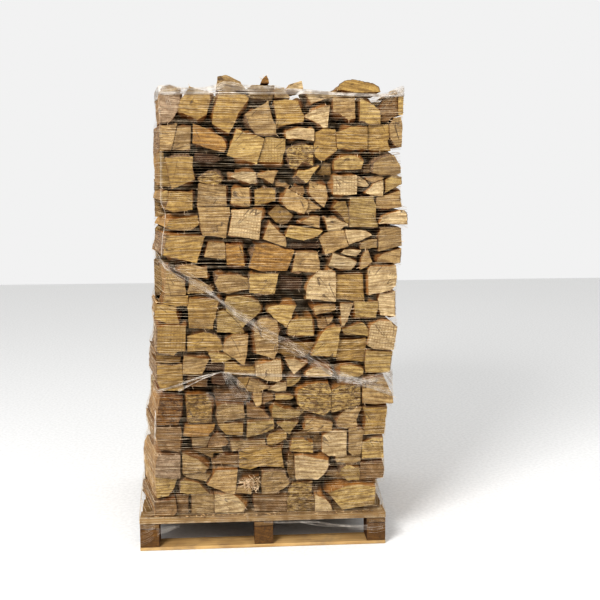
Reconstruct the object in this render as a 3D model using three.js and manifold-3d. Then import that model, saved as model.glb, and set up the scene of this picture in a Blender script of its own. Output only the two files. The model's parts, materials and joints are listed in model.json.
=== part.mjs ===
// A pallet of split firewood: a block pallet, three rows of stacked logs and the net wound round them.
// Millimetres, +Z up, the front towards -Y, the pallet's centre on the ground at the origin.

import * as THREE from 'three';
import { mergeVertices } from 'three/addons/utils/BufferGeometryUtils.js';
import Module from 'manifold-3d';

const wasm = await Module();
wasm.setup();

// The pallet: deck boards over stringers, blocks and bottom boards.
const PALLET = 1000;
const BOTTOM_BOARD = { width: 98, thick: 15 };
const BLOCK = { width: 78, length: 98, tall: 75 };
const STRINGER_THICK = 20;
const DECK = { boards: 7, width: 98, thick: 24 };
const GAP = 0.3;
const DECK_TOP = BOTTOM_BOARD.thick + BLOCK.tall + STRINGER_THICK + DECK.thick;

// Where the three rows of logs end, front to back. The first and last rows show their sawn ends.
const FRONT_ROW = { shown: -462, inner: -150 };
const MIDDLE_ROW = { shown: -134, inner: 150 };
const REAR_ROW = { shown: 472, inner: 168 };

// Logs of a row that touch are one solid, of at most this many logs.
const BUNDLE = { front: 17, middle: 13, rear: 16 };
const REACH_ACROSS = 60;
const PRESSED_IN = 1.5;

const wood = (name, color) => new THREE.MeshStandardMaterial({ name, color, roughness: 0.85, metalness: 0 });
const logWood = wood('split_wood', 0xbf9d67);
const deckWood = wood('deck_wood', 0xc9a36a);
const blockWood = wood('block_wood', 0x9c7146);
const netFibre = new THREE.MeshStandardMaterial({
  name: 'net_fibre',
  color: 0xe9e4e0,
  roughness: 0.5,
  metalness: 0,
});

// The ends of the front logs, traced on a plane a little behind them: how far a log stands out from
// the others, then its corners as x, z pairs.
const log = (reach, ...numbers) => ({
  reach,
  corners: Array.from({ length: numbers.length / 2 }, (_, i) => [numbers[2 * i], numbers[2 * i + 1]]),
});

const tracedLogs = [
  // lowest logs, on the deck
  log(14, -442, 128, -364, 128, -352, 144, -361, 201, -438, 181),
  log(-9, -347, 128, -307, 128, -305, 207, -351, 206),
  log(3, -294, 128, -203, 127, -202, 207, -250, 210, -290, 206),
  log(7, -198, 133, -80, 131, -73, 160, -103, 196, -130, 208, -197, 212),
  log(-6, -37, 128, 97, 128, 98, 200, 60, 203, -40, 200),
  log(-2, 101, 128, 211, 127, 211, 180, 200, 198, 204, 252, 120, 248, 103, 214),
  log(8, 215, 128, 287, 128, 280, 152, 262, 176, 215, 200),
  log(15, 325, 134, 462, 151, 464, 226, 398, 239, 345, 235, 268, 208),
  log(4, -438, 288, -433, 201, -385, 209, -362, 240, -351, 279),
  log(9, -438, 293, -337, 283, -333, 380, -395, 386, -424, 382, -434, 350),
  log(2, -326, 305, -238, 306, -221, 322, -268, 362, -328, 390),
  log(6, -337, 221, -222, 213, -262, 262, -318, 277, -337, 268),
  log(-8, -311, 282, -232, 262, -210, 294, -325, 298),
  log(8, -229, 252, -180, 229, -118, 212, -106, 270, -102, 316, -190, 315),
  log(-5, -203, 333, -170, 336, -100, 328, -99, 372, -160, 374, -206, 350),
  log(-18, -284, 396, -208, 358, -199, 378, -165, 382, -165, 400, -230, 402),
  log(-22, -286, 408, -228, 405, -214, 446, -288, 450),
  log(1, -222, 410, -150, 414, -136, 425, -152, 446, -182, 471, -216, 432),
  log(5, -420, 404, -375, 399, -333, 392, -332, 440, -325, 470, -330, 500, -428, 500, -432, 470),
  log(-3, -134, 432, -124, 386, -50, 414, 12, 412, 10, 433),
  log(4, -96, 320, -52, 311, -8, 326, 87, 315, 75, 407, 45, 400, 8, 408, -55, 409, -96, 392),
  log(-4, 16, 437, 20, 412, 46, 406, 100, 438, 98, 464, 60, 468, 28, 458),
  log(-7, 110, 381, 150, 375, 204, 374, 206, 415, 170, 428, 122, 430),
  log(-34, 212, 376, 240, 378, 240, 436, 214, 436),
  log(-30, 118, 436, 234, 441, 230, 456, 168, 460, 128, 453),
  log(-14, 100, 296, 110, 270, 127, 258, 127, 366, 104, 362),
  log(11, 138, 270, 225, 263, 250, 283, 269, 312, 270, 344, 230, 352, 160, 370, 130, 365),
  log(6, -8, 262, 0, 297, 45, 303, 92, 300, 96, 275, 113, 252, 92, 230, 55, 215, -4, 211),
  log(-3, -94, 248, -94, 264, -60, 268, -14, 284, -11, 262, -14, 230, -44, 234, -62, 246),
  log(3, -110, 215, -50, 206, -46, 228, -62, 240, -98, 243),
  log(2, 405, 256, 450, 254, 496, 262, 500, 300, 494, 328, 407, 324),
  log(7, 316, 283, 350, 256, 393, 258, 396, 307, 345, 318, 322, 308),
  log(-40, 262, 262, 330, 250, 342, 256, 318, 278, 272, 286),
  log(-4, 304, 330, 380, 325, 402, 334, 402, 359, 303, 350),
  log(5, 247, 378, 270, 360, 344, 362, 346, 464, 300, 468, 247, 450),
  log(9, 352, 374, 375, 363, 400, 366, 404, 415, 414, 464, 385, 478, 354, 472),
  log(3, 412, 345, 409, 380, 415, 415, 455, 434, 497, 433, 500, 345),
  // from the third course to the fifth
  log(12, -430, 508, -339, 506, -323, 570, -318, 618, -350, 629, -412, 624),
  log(8, -303, 514, -206, 512, -203, 595, -218, 622, -252, 632, -309, 630),
  log(-2, -313, 505, -191, 505, -199, 478, -220, 459, -322, 456),
  log(10, -188, 545, -184, 582, -150, 586, -76, 580, -71, 532, -180, 514),
  log(-5, -63, 530, -63, 583, -42, 583, -25, 570, 2, 562, 14, 545, 32, 524, -10, 522),
  log(2, 40, 527, 38, 562, 48, 582, 92, 562, 160, 556, 166, 547, 148, 527, 108, 520),
  log(6, -178, 502, -168, 482, -148, 461, -80, 457, -78, 506, -110, 511),
  log(9, -62, 512, -20, 517, 42, 516, 47, 482, -3, 461, -65, 448),
  log(3, 57, 501, 95, 513, 146, 506, 110, 458),
  log(7, 172, 471, 176, 523, 245, 516, 289, 500, 279, 466),
  log(5, 303, 482, 304, 508, 316, 532, 342, 552, 370, 562, 404, 563, 387, 512, 387, 486, 345, 478),
  log(1, 413, 560, 424, 510, 420, 472, 415, 448, 500, 447, 513, 560),
  log(-1, -408, 647, -317, 645, -322, 755, -360, 748, -422, 756, -423, 690),
  log(13, -418, 804, -352, 792, -338, 806, -305, 808, -302, 911, -340, 914, -416, 908),
  log(-12, -424, 763, -380, 755, -328, 762, -324, 782, -398, 790, -424, 797),
  log(3, -317, 714, -240, 710, -226, 752, -209, 774, -314, 790),
  log(6, -211, 796, -172, 799, -150, 792, -126, 775, -150, 765, -200, 761),
  log(-20, -222, 722, -157, 724, -155, 757, -200, 754, -222, 746),
  log(-28, -305, 656, -225, 653, -222, 684, -300, 702),
  log(-6, -203, 670, -150, 662, -146, 690, -166, 704, -195, 698),
  log(-4, -148, 756, -112, 761, -88, 741, -30, 740, -30, 706, -90, 703, -148, 712),
  log(2, -97, 693, -54, 695, -65, 655, -95, 655),
  log(4, -47, 692, -10, 681, 28, 654, -20, 635, -67, 639),
  log(11, -24, 702, 22, 681, 50, 678, 82, 686, 77, 767, 45, 764, -24, 747),
  log(-2, 24, 642, 62, 669, 96, 673, 96, 636, 60, 633),
  log(-3, 101, 688, 159, 692, 152, 676, 128, 657, 102, 653),
  log(3, -37, 600, -36, 628, -3, 630, -3, 586, -22, 577),
  log(-8, 3, 628, 47, 624, 46, 598, 1, 583),
  log(5, 52, 600, 53, 624, 90, 625, 130, 613, 122, 603, 95, 598),
  log(-36, -188, 598, -60, 592, -48, 630, -110, 644, -188, 642),
  log(16, 141, 584, 170, 556, 257, 532, 276, 560, 279, 640, 268, 668, 228, 673, 190, 664, 145, 643),
  log(12, 285, 542, 370, 572, 401, 577, 401, 655, 350, 662, 315, 657, 285, 640),
  log(14, 408, 581, 450, 576, 536, 578, 532, 615, 497, 687, 455, 690, 407, 679),
  log(6, 97, 767, 125, 767, 181, 750, 130, 705, 112, 728),
  log(9, 173, 697, 178, 716, 205, 733, 240, 735, 270, 724, 289, 704, 282, 694, 230, 691),
  log(8, 317, 736, 352, 742, 397, 732, 414, 720, 412, 701, 394, 691, 317, 691),
  // the middle of the stack
  log(5, 421, 706, 520, 704, 531, 793, 424, 796, 419, 750),
  log(-9, 303, 758, 304, 788, 316, 842, 368, 842, 423, 846, 424, 818, 419, 792, 415, 752),
  log(14, 215, 822, 236, 864, 262, 889, 292, 900, 317, 899, 300, 776, 199, 781, 201, 800),
  log(-15, 70, 792, 70, 830, 110, 837, 216, 831, 196, 792, 170, 774, 100, 774),
  log(10, 105, 867, 107, 908, 122, 927, 150, 937, 203, 938, 211, 863),
  log(7, -32, 862, -28, 912, -8, 937, 24, 939, 60, 924, 70, 885, 61, 806, 50, 772, -22, 793),
  log(4, -152, 807, -118, 783, -85, 750, -70, 744, -58, 800, -53, 868, -118, 868, -145, 855),
  log(-5, -300, 803, -190, 807, -159, 812, -164, 848, -182, 871, -232, 884, -299, 868),
  log(12, -290, 903, -194, 896, -190, 935, -183, 970, -165, 1017, -285, 1021, -293, 985),
  log(-3, -180, 881, -70, 878, -96, 921, -150, 969, -175, 967),
  log(8, -148, 1003, -139, 974, -76, 902, -5, 962, 0, 985, -12, 1005, -42, 1021, -85, 1030, -138, 1028),
  log(2, 19, 966, 62, 931, 99, 897, 142, 987, 70, 990, 28, 983),
  log(5, 209, 984, 216, 947, 297, 963, 299, 988, 250, 991),
  log(-16, 224, 932, 256, 934, 266, 905, 250, 885, 230, 890),
  log(-13, 262, 932, 293, 936, 282, 912, 271, 906),
  log(3, 316, 993, 370, 992, 350, 930, 333, 898, 323, 902),
  log(6, 373, 998, 378, 936, 464, 933, 469, 999),
  log(1, 481, 941, 542, 935, 540, 1040, 512, 1032, 476, 1028, 474, 1000),
  log(4, 324, 886, 337, 862, 430, 859, 432, 878, 424, 901, 412, 913, 396, 912),
  log(13, 443, 906, 470, 920, 524, 919, 533, 904, 550, 896, 535, 800, 455, 804, 430, 822),
  log(-2, -426, 939, -400, 927, -345, 918, -330, 922, -342, 981, -395, 997, -424, 1000),
  log(2, -391, 1006, -350, 993, -299, 989, -291, 1005, -293, 1029, -385, 1030),
  log(5, -384, 1036, -301, 1035, -303, 1092, -376, 1146),
  log(9, -322, 1127, -322, 1149, -298, 1156, -262, 1156, -213, 1138, -213, 1100, -300, 1111),
  log(-1, -290, 1041, -206, 1038, -191, 1052, -201, 1068, -228, 1084, -283, 1102),
  log(3, -184, 1080, -170, 1111, -92, 1114, -53, 1096, -51, 1057, -135, 1036, -168, 1047),
  log(6, -44, 1118, 70, 1116, 54, 1036, 20, 1031, -47, 1041),
  log(-45, 74, 1048, 164, 1044, 166, 1092, 80, 1106),
  log(11, 178, 1014, 180, 1060, 193, 1093, 238, 1126, 274, 1130, 299, 1119, 295, 1000),
  log(-6, 304, 1010, 304, 1104, 350, 1111, 411, 1109, 413, 1050, 417, 1004, 360, 1003),
  log(14, 427, 1130, 438, 1143, 541, 1142, 546, 1100, 541, 1062, 520, 1043, 430, 1025),
  // above the middle
  log(12, -387, 1193, -254, 1161, -221, 1266, -372, 1276),
  log(3, -226, 1183, -209, 1247, -146, 1242, -143, 1175),
  log(-4, -136, 1235, -74, 1230, -63, 1147, -137, 1153),
  log(6, -22, 1235, 22, 1239, 62, 1230, 96, 1214, 135, 1208, 104, 1127, 0, 1125, -49, 1141),
  log(8, 122, 1123, 139, 1204, 225, 1202, 235, 1165, 235, 1135, 214, 1119),
  log(2, 231, 1256, 258, 1278, 282, 1284, 330, 1281, 348, 1224, 257, 1190),
  log(7, 288, 1194, 350, 1177, 386, 1160, 362, 1128, 320, 1130, 268, 1145),
  log(-3, 319, 1195, 345, 1185, 384, 1180, 401, 1204, 358, 1212, 336, 1206),
  log(5, 399, 1150, 401, 1172, 410, 1194, 427, 1206, 447, 1160, 428, 1142, 400, 1127, 393, 1131),
  log(9, 462, 1160, 470, 1177, 492, 1194, 562, 1213, 558, 1153),
  log(-2, 402, 1238, 432, 1249, 465, 1251, 466, 1215, 399, 1214),
  log(4, 471, 1199, 565, 1223, 562, 1295, 481, 1298, 470, 1262),
  log(7, 340, 1286, 378, 1289, 422, 1284, 446, 1266, 396, 1243, 353, 1231),
  log(-20, 114, 1216, 230, 1212, 236, 1238, 180, 1242, 120, 1238),
  log(-5, -374, 1303, -361, 1331, -248, 1349, -242, 1313, -272, 1293, -305, 1289, -350, 1292),
  log(4, -373, 1377, -361, 1402, -359, 1445, -266, 1440, -267, 1372, -345, 1361),
  log(8, -347, 1452, -256, 1490, -264, 1530, -264, 1577, -310, 1581, -366, 1573, -352, 1500),
  log(-6, -395, 1463, -357, 1463, -374, 1560, -377, 1592, -397, 1595),
  log(-9, -393, 1409, -378, 1403, -364, 1412, -364, 1446, -393, 1444),
  log(9, -247, 1389, -246, 1450, -240, 1473, -200, 1463, -134, 1465, -134, 1390),
  log(5, -246, 1381, -240, 1310, -229, 1274, -180, 1267, -138, 1258, -125, 1340, -119, 1352, -123, 1382),
  log(16, -130, 1271, -114, 1345, -116, 1371, -20, 1375, 7, 1368, -7, 1251),
  log(11, -118, 1396, -112, 1451, -85, 1459, -43, 1458, -42, 1383, -70, 1383),
  log(-1, -23, 1385, -24, 1450, 10, 1457, 59, 1455, 59, 1405),
  log(
    10, 79, 1402, 105, 1452, 142, 1430, 168, 1418, 189, 1401, 185, 1374, 172, 1355, 148, 1358,
    108, 1377
  ),
  log(-11, 119, 1452, 135, 1462, 170, 1462, 177, 1440, 168, 1426),
  log(-13, 60, 1463, 110, 1458, 118, 1467, 100, 1476, 62, 1478),
  log(3, 190, 1436, 196, 1483, 260, 1463, 267, 1418, 253, 1377, 222, 1399),
  log(-4, 192, 1409, 242, 1374, 214, 1364, 181, 1359, 189, 1385),
  log(4, 148, 1319, 206, 1345, 235, 1343, 233, 1295),
  log(7, 99, 1267, 104, 1288, 116, 1309, 236, 1290, 248, 1284, 226, 1263, 170, 1247, 120, 1257),
  log(2, 253, 1338, 300, 1335, 346, 1307, 318, 1292, 267, 1289),
  log(6, 286, 1378, 302, 1399, 340, 1403, 349, 1321, 343, 1320, 318, 1348),
  log(9, 357, 1300, 355, 1417, 446, 1417, 459, 1372, 457, 1345, 466, 1298),
  log(15, 486, 1344, 550, 1364, 572, 1365, 584, 1348, 585, 1308, 474, 1314),
  log(-3, 463, 1412, 559, 1445, 561, 1402, 566, 1378, 510, 1370, 465, 1375),
  log(8, 414, 1434, 446, 1466, 487, 1483, 490, 1452, 487, 1425, 468, 1424),
  log(4, 497, 1486, 522, 1498, 560, 1496, 562, 1468, 497, 1434),
  log(12, 287, 1429, 288, 1503, 380, 1503, 382, 1429, 340, 1425),
  log(1, 388, 1463, 388, 1498, 402, 1496, 412, 1481, 433, 1466, 424, 1457),
  log(-10, 422, 1489, 442, 1478, 484, 1488, 491, 1494, 470, 1498),
  log(-24, 30, 1354, 67, 1390, 133, 1347, 108, 1314, 84, 1309, 60, 1319),
  log(5, 8, 1254, 34, 1326, 95, 1259, 102, 1238, 100, 1221),
  // the upper courses
  log(8, 291, 1526, 290, 1560, 318, 1576, 350, 1585, 378, 1579, 410, 1559, 400, 1529, 350, 1524),
  log(6, 446, 1512, 447, 1552, 480, 1575, 530, 1585, 558, 1538, 559, 1511, 500, 1506),
  log(-26, 410, 1512, 438, 1514, 440, 1548, 414, 1544),
  log(5, 105, 1614, 107, 1572, 118, 1534, 140, 1528, 168, 1560, 207, 1544, 206, 1617, 168, 1628),
  log(9, 102, 1649, 100, 1676, 150, 1691, 212, 1686, 211, 1638, 140, 1648),
  log(4, -6, 1558, 22, 1653, 50, 1654, 100, 1643, 86, 1554),
  log(13, -133, 1583, -111, 1635, -92, 1686, -48, 1667, 16, 1645, -15, 1551),
  log(
    7, -264, 1630, -260, 1706, -206, 1687, -148, 1654, -133, 1632, -131, 1612, -141, 1595, -205,
    1610, -250, 1627
  ),
  log(-2, -340, 1605, -319, 1695, -267, 1696, -273, 1608, -300, 1603),
  log(3, -392, 1605, -347, 1605, -325, 1705, -391, 1698),
  log(2, -386, 1710, -388, 1817, -307, 1823, -329, 1735, -352, 1710),
  log(10, -313, 1752, -302, 1798, -272, 1848, -196, 1827, -190, 1800, -206, 1740, -243, 1719),
  log(8, -187, 1704, -183, 1745, -157, 1828, -53, 1817, -41, 1800, -83, 1745, -101, 1700, -121, 1667),
  log(11, -59, 1742, 32, 1790, 66, 1663, 18, 1659, -14, 1668, -37, 1690),
  log(6, 53, 1793, 102, 1799, 149, 1795, 171, 1738, 170, 1713, 69, 1693),
  log(9, 175, 1733, 197, 1752, 236, 1769, 276, 1779, 266, 1693, 253, 1692),
  log(-3, 202, 1783, 299, 1815, 299, 1830, 173, 1830),
  log(3, 288, 1752, 287, 1805, 375, 1807, 376, 1725, 346, 1719, 322, 1738),
  log(7, 392, 1717, 393, 1806, 450, 1778, 472, 1750, 473, 1707, 430, 1707),
  log(-7, 480, 1717, 479, 1765, 488, 1800, 540, 1810, 544, 1736, 522, 1730, 506, 1713),
  log(2, 549, 1741, 548, 1812, 567, 1814, 566, 1741),
  log(5, 518, 1650, 514, 1706, 528, 1727, 555, 1732, 564, 1700, 561, 1613, 534, 1619),
  log(-4, 429, 1603, 429, 1698, 505, 1702, 510, 1655, 505, 1636, 520, 1599, 460, 1598),
  log(6, 305, 1611, 303, 1672, 360, 1695, 420, 1693, 421, 1607, 360, 1604),
  log(
    -1, 216, 1590, 217, 1672, 262, 1689, 295, 1683, 296, 1640, 303, 1606, 283, 1585, 252, 1565,
    236, 1562, 223, 1573
  ),
  log(5, -119, 1500, -100, 1516, -72, 1523, -19, 1519, -18, 1473, -42, 1473),
  log(-2, -11, 1498, -9, 1510, 8, 1513, 26, 1524, 73, 1524, 57, 1497, 47, 1472, 12, 1492),
  log(8, 141, 1505, 151, 1522, 196, 1529, 234, 1543, 181, 1474),
  log(-3, -247, 1494, -202, 1525, -176, 1523, -152, 1502, -150, 1488, -164, 1470, -196, 1472, -236, 1484),
  log(-38, -258, 1560, -175, 1556, -146, 1572, -190, 1590, -258, 1594),
  log(-28, 222, 1508, 240, 1504, 282, 1506, 282, 1552, 256, 1554),
  // on top, held by the net's upper band
  log(4, -170, 1839, -162, 1885, -128, 1893, -74, 1866, -56, 1834, -140, 1834),
  log(-41, -38, 1806, 48, 1799, 60, 1857, -30, 1858, -50, 1838),
  log(-33, -376, 1827, -318, 1829, -302, 1843, -350, 1857, -378, 1851),
  log(-14, 4, 1862, 12, 1880, 28, 1893, 36, 1878, 38, 1862),
  log(-5, 107, 1839, 113, 1856, 166, 1872, 172, 1838),
  log(11, 300, 1838, 312, 1857, 334, 1870, 362, 1875, 442, 1860, 466, 1848, 474, 1827, 380, 1825),
  log(-6, 499, 1817, 512, 1831, 532, 1837, 541, 1828, 543, 1817),
  log(-9, 64, 1806, 62, 1842, 96, 1846, 102, 1834, 120, 1806),
];

// The traced plane lies a little behind the ends, so the corners are drawn in towards eye height.
const EYE = { x: -140, z: 1530, scale: 0.99434 };
const toFrontRow = ([x, z]) => [
  EYE.x + (x - EYE.x) * EYE.scale,
  EYE.z + (z - EYE.z) * EYE.scale,
];

// Reads a value off a line of [height, value] points.
function atHeight(line, z) {
  const next = line.findIndex(([height]) => height > z);
  if (next === -1) return line.at(-1)[1];
  if (next === 0) return line[0][1];
  const [lowZ, low] = line[next - 1];
  const [highZ, high] = line[next];
  return low + ((high - low) * (z - lowZ)) / (highZ - lowZ);
}

// The stack leans to the right. Its sides, where the rows are widest, by height.
const LEFT_SIDE = [[134, -515], [600, -475], [1900, -424]];
const RIGHT_SIDE = [[134, 526], [320, 524], [560, 528], [1900, 584]];
// The net has drawn the corners in, so the front ends are narrower than the middle.
const FRONT_LEFT = [
  [134, -438], [600, -416], [1000, -424], [1160, -388], [1350, -376], [1420, -396], [1900, -388],
];
const FRONT_RIGHT = [[134, 463], [320, 500], [560, 514], [1300, 568], [1900, 566]];
const REAR_DRAWN_IN = 48;

// How far a corner of a front log's end moves sideways by the log's inner end.
function frontSpread([x, z]) {
  const left = atHeight(FRONT_LEFT, z);
  const right = atHeight(FRONT_RIGHT, z);
  const middle = (left + right) / 2;
  const share = Math.min(1, Math.abs(x - middle) / (x < middle ? middle - left : right - middle));
  const end = x < middle ? atHeight(LEFT_SIDE, z) - left : atHeight(RIGHT_SIDE, z) - right;
  return [x + end * share ** 3, z];
}

// The rear row is built facing forwards and turned round, so its lean is the mirror image.
function rearSpread([x, z]) {
  const left = -atHeight(RIGHT_SIDE, z) + REAR_DRAWN_IN;
  const right = -atHeight(LEFT_SIDE, z) - REAR_DRAWN_IN;
  const middle = (left + right) / 2;
  const share = Math.min(1, Math.abs(x - middle) / (right - middle));
  return [x + Math.sign(x - middle) * REAR_DRAWN_IN * share ** 3, z];
}

// A small repeatable source of numbers from 0 to 1.
function numbersFrom(seed) {
  let state = seed;
  return () => {
    state = (state * 16807) % 2147483647;
    return state / 2147483647;
  };
}

// Rows whose ends are not traced: wavy courses cut into cells, and most cells into two logs. The
// outermost logs don't quite line up, and the uppermost are of uneven height.
const OUTER_UNEVEN = 12;
const TOP_UNEVEN = 46;

function stackedLogs({ seed, courses, cell, splitShare, leftAt, rightAt, top, wave }) {
  const random = numbersFrom(seed);
  const uneven = numbersFrom(seed + 1);
  const between = (low, high) => low + (high - low) * random();
  const bottom = DECK_TOP + 1;
  const bounds = Array.from({ length: courses + 1 }, (_, i) => ({
    height: bottom + ((top - bottom) * i) / courses,
    swing: i === 0 ? 0 : between(0.5, 1) * wave,
    phase: between(0, 2 * Math.PI),
  }));
  const heightAt = ({ height, swing, phase }, x) => height + swing * Math.sin(x / 180 + phase);
  const logs = [];
  for (let course = 0; course < courses; course += 1) {
    const low = bounds[course];
    const high = bounds[course + 1];
    const left = leftAt((low.height + high.height) / 2);
    const right = rightAt((low.height + high.height) / 2);
    const count = Math.round((right - left) / cell);
    const cuts = Array.from({ length: count + 1 }, (_, i) => {
      const inner = i > 0 && i < count;
      const x = left + ((right - left) * i) / count + (inner ? between(-0.22, 0.22) * cell : 0);
      const slant = inner ? between(-0.1, 0.1) * cell : 0;
      return { low: x - slant, high: x + slant };
    });
    for (let i = 0; i < count; i += 1) {
      const space = between(2, 4);
      const atLeft = space + (i === 0 ? uneven() * OUTER_UNEVEN : 0);
      const atRight = space + (i === count - 1 ? uneven() * OUTER_UNEVEN : 0);
      const sunk = [0, 1].map(() => space + (course === courses - 1 ? uneven() * TOP_UNEVEN : 0));
      const corners = [
        [cuts[i].low + atLeft, heightAt(low, cuts[i].low) + space],
        [cuts[i + 1].low - atRight, heightAt(low, cuts[i + 1].low) + space],
        [cuts[i + 1].high - atRight, heightAt(high, cuts[i + 1].high) - sunk[0]],
        [cuts[i].high + atLeft, heightAt(high, cuts[i].high) - sunk[1]],
      ];
      const pieces = random() < splitShare ? splitCell(corners, between) : [corners];
      for (const piece of pieces) {
        logs.push({ reach: between(-14, 14), corners: knockCorner(piece, between) });
      }
    }
  }
  return logs;
}

const partWay = ([x0, z0], [x1, z1], share) => [x0 + (x1 - x0) * share, z0 + (z1 - z0) * share];

// Two logs in one cell: the split runs from one upright side to the other.
function splitCell([lowLeft, lowRight, highRight, highLeft], between) {
  const atLeft = between(0.25, 0.75);
  const atRight = between(0.25, 0.75);
  const space = 0.02;
  return [
    [
      lowLeft,
      lowRight,
      partWay(lowRight, highRight, atRight - space),
      partWay(lowLeft, highLeft, atLeft - space),
    ],
    [
      partWay(lowLeft, highLeft, atLeft + space),
      partWay(lowRight, highRight, atRight + space),
      highRight,
      highLeft,
    ],
  ];
}

// A split log has lost one corner more often than not.
function knockCorner(corners, between) {
  if (between(0, 1) < 0.35) return corners;
  const lost = Math.floor(between(0, corners.length));
  const before = corners.at(lost - 1);
  const after = corners[(lost + 1) % corners.length];
  const cut = [before, after].map((next) => partWay(corners[lost], next, between(0.2, 0.4)));
  return [...corners.slice(0, lost), ...cut, ...corners.slice(lost + 1)];
}

// The nearest point to p on the edge from a to b.
function nearestOnEdge(p, a, b) {
  const along = ((p[0] - a[0]) * (b[0] - a[0]) + (p[1] - a[1]) * (b[1] - a[1]))
    / ((b[0] - a[0]) ** 2 + (b[1] - a[1]) ** 2);
  return partWay(a, b, Math.min(1, Math.max(0, along)));
}

const distance = (a, b) => Math.hypot(a[0] - b[0], a[1] - b[1]);
const side = (a, b, p) => Math.sign((b[0] - a[0]) * (p[1] - a[1]) - (b[1] - a[1]) * (p[0] - a[0]));

function crosses(a, b, corners) {
  return corners.some((c, i) => {
    const d = corners[(i + 1) % corners.length];
    return side(a, b, c) !== side(a, b, d) && side(c, d, a) !== side(c, d, b);
  });
}

// The spot on an outline that is nearest to a corner of another.
function nearestSpot(corner, outline) {
  const spots = outline.map((a, i) => nearestOnEdge(corner, a, outline[(i + 1) % outline.length]));
  return spots.reduce((best, spot) => (distance(corner, spot) < distance(corner, best) ? spot : best));
}

// Every way in which a corner of one log could bear on the side of another, the nearest first.
function bearings(outlines) {
  const found = [];
  outlines.forEach((outline, from) => {
    outlines.forEach((other, to) => {
      if (from === to || distance(outline[0], other[0]) > 4 * REACH_ACROSS) return;
      outline.forEach((corner, index) => {
        const spot = nearestSpot(corner, other);
        const gap = distance(corner, spot);
        if (gap > 0.01 && gap < REACH_ACROSS) found.push({ gap, from, to, index, spot });
      });
    });
  });
  return found.sort((a, b) => a.gap - b.gap);
}

// Joins logs that bear on each other into bundles. A log is thicker at its inner end, where one of
// its corners presses on the next log.
function bundle(outlines, most) {
  const groupOf = outlines.map((_, i) => i);
  const pressed = new Map();
  for (const bearing of bearings(outlines)) {
    const { from, to, index, spot } = bearing;
    const [keep, join] = [groupOf[to], groupOf[from]];
    const size = groupOf.filter((group) => group === keep || group === join).length;
    const key = `${from} ${index}`;
    const corner = outlines[from][index];
    const blocked = outlines.some((other, i) => i !== from && i !== to && crosses(corner, spot, other));
    if (keep === join || size > most || pressed.has(key) || blocked) continue;
    pressed.set(key, bearing);
    groupOf.forEach((group, i) => {
      if (group === join) groupOf[i] = keep;
    });
  }

  // the log that is pressed on has moved a little itself, so the spots are found again until they settle
  const inner = outlines.map((outline) => outline.map((corner) => [...corner]));
  for (let pass = 0; pass < 4; pass += 1) {
    for (const { from, to, index } of pressed.values()) {
      const corner = outlines[from][index];
      const spot = nearestSpot(corner, inner[to]);
      inner[from][index] = partWay(corner, spot, 1 + PRESSED_IN / distance(corner, spot));
    }
  }
  const groups = [...new Set(groupOf)]
    .map((name) => groupOf.flatMap((group, i) => (group === name ? [i] : [])));
  return { inner, groups };
}

// Three.js geometry to a solid and back.
function toSolid(geometry) {
  const bare = geometry.clone();
  bare.deleteAttribute('normal');
  bare.deleteAttribute('uv');
  const merged = mergeVertices(bare, 1e-4);
  return new wasm.Manifold(new wasm.Mesh({
    numProp: 3,
    vertProperties: new Float32Array(merged.attributes.position.array),
    triVerts: new Uint32Array(merged.index.array),
  }));
}

function toGeometry(solid) {
  const mesh = solid.getMesh();
  const geometry = new THREE.BufferGeometry();
  geometry.setAttribute('position', new THREE.BufferAttribute(mesh.vertProperties, 3));
  geometry.setIndex(new THREE.BufferAttribute(mesh.triVerts, 1));
  return geometry;
}

function joined(solids) {
  return toGeometry(solids.reduce((whole, solid) => whole.add(solid)));
}

// One log between its shown end and its inner end, whose corners may differ a little.
function logSolid(corners, innerCorners, shownAt, innerAt) {
  const geometry = new THREE.ExtrudeGeometry(
    new THREE.Shape(corners.map(([x, z]) => new THREE.Vector2(x, z))),
    { depth: innerAt - shownAt, bevelEnabled: false },
  );
  const position = geometry.attributes.position;
  for (let i = 0; i < position.count; i += 1) {
    if (position.getZ(i) > 0) continue;
    const corner = corners.findIndex((c) => distance(c, [position.getX(i), position.getY(i)]) < 0.001);
    position.setXY(i, ...innerCorners[corner]);
  }
  geometry.rotateX(Math.PI / 2);
  geometry.translate(0, innerAt, 0);
  return toSolid(geometry);
}

// A row of logs, as one mesh for each bundle, the lowest first.
function row(name, logs, ends, spread, most) {
  const { inner, groups } = bundle(logs.map(({ corners }) => corners.map(spread)), most);
  const lowest = (group) => Math.min(...group.flatMap((i) => logs[i].corners.map(([, z]) => z)));
  groups.sort((a, b) => lowest(a) - lowest(b));
  const depth = Math.abs(ends.inner - ends.shown);
  return groups.map((group, number) => {
    const solids = group.map((i) => {
      const { corners, reach } = logs[i];
      return logSolid(corners, inner[i], -reach, depth);
    });
    const mesh = new THREE.Mesh(joined(solids), logWood);
    mesh.name = `${name}_logs_${String(number + 1).padStart(2, '0')}`;
    mesh.position.y = ends.shown;
    if (ends.shown > ends.inner) mesh.rotation.z = Math.PI;
    return mesh;
  });
}

const stack = new THREE.Group();
const frontLogs = tracedLogs.map(({ reach, corners }) => ({ reach, corners: corners.map(toFrontRow) }));
stack.add(...row('front', frontLogs, FRONT_ROW, frontSpread, BUNDLE.front));

const middleLogs = stackedLogs({
  seed: 118,
  courses: 10,
  cell: 170,
  splitShare: 0.35,
  leftAt: (z) => atHeight(LEFT_SIDE, z),
  rightAt: (z) => atHeight(RIGHT_SIDE, z),
  top: 1842,
  wave: 9,
});
stack.add(...row('middle', middleLogs, MIDDLE_ROW, (corner) => corner, BUNDLE.middle));

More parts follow.
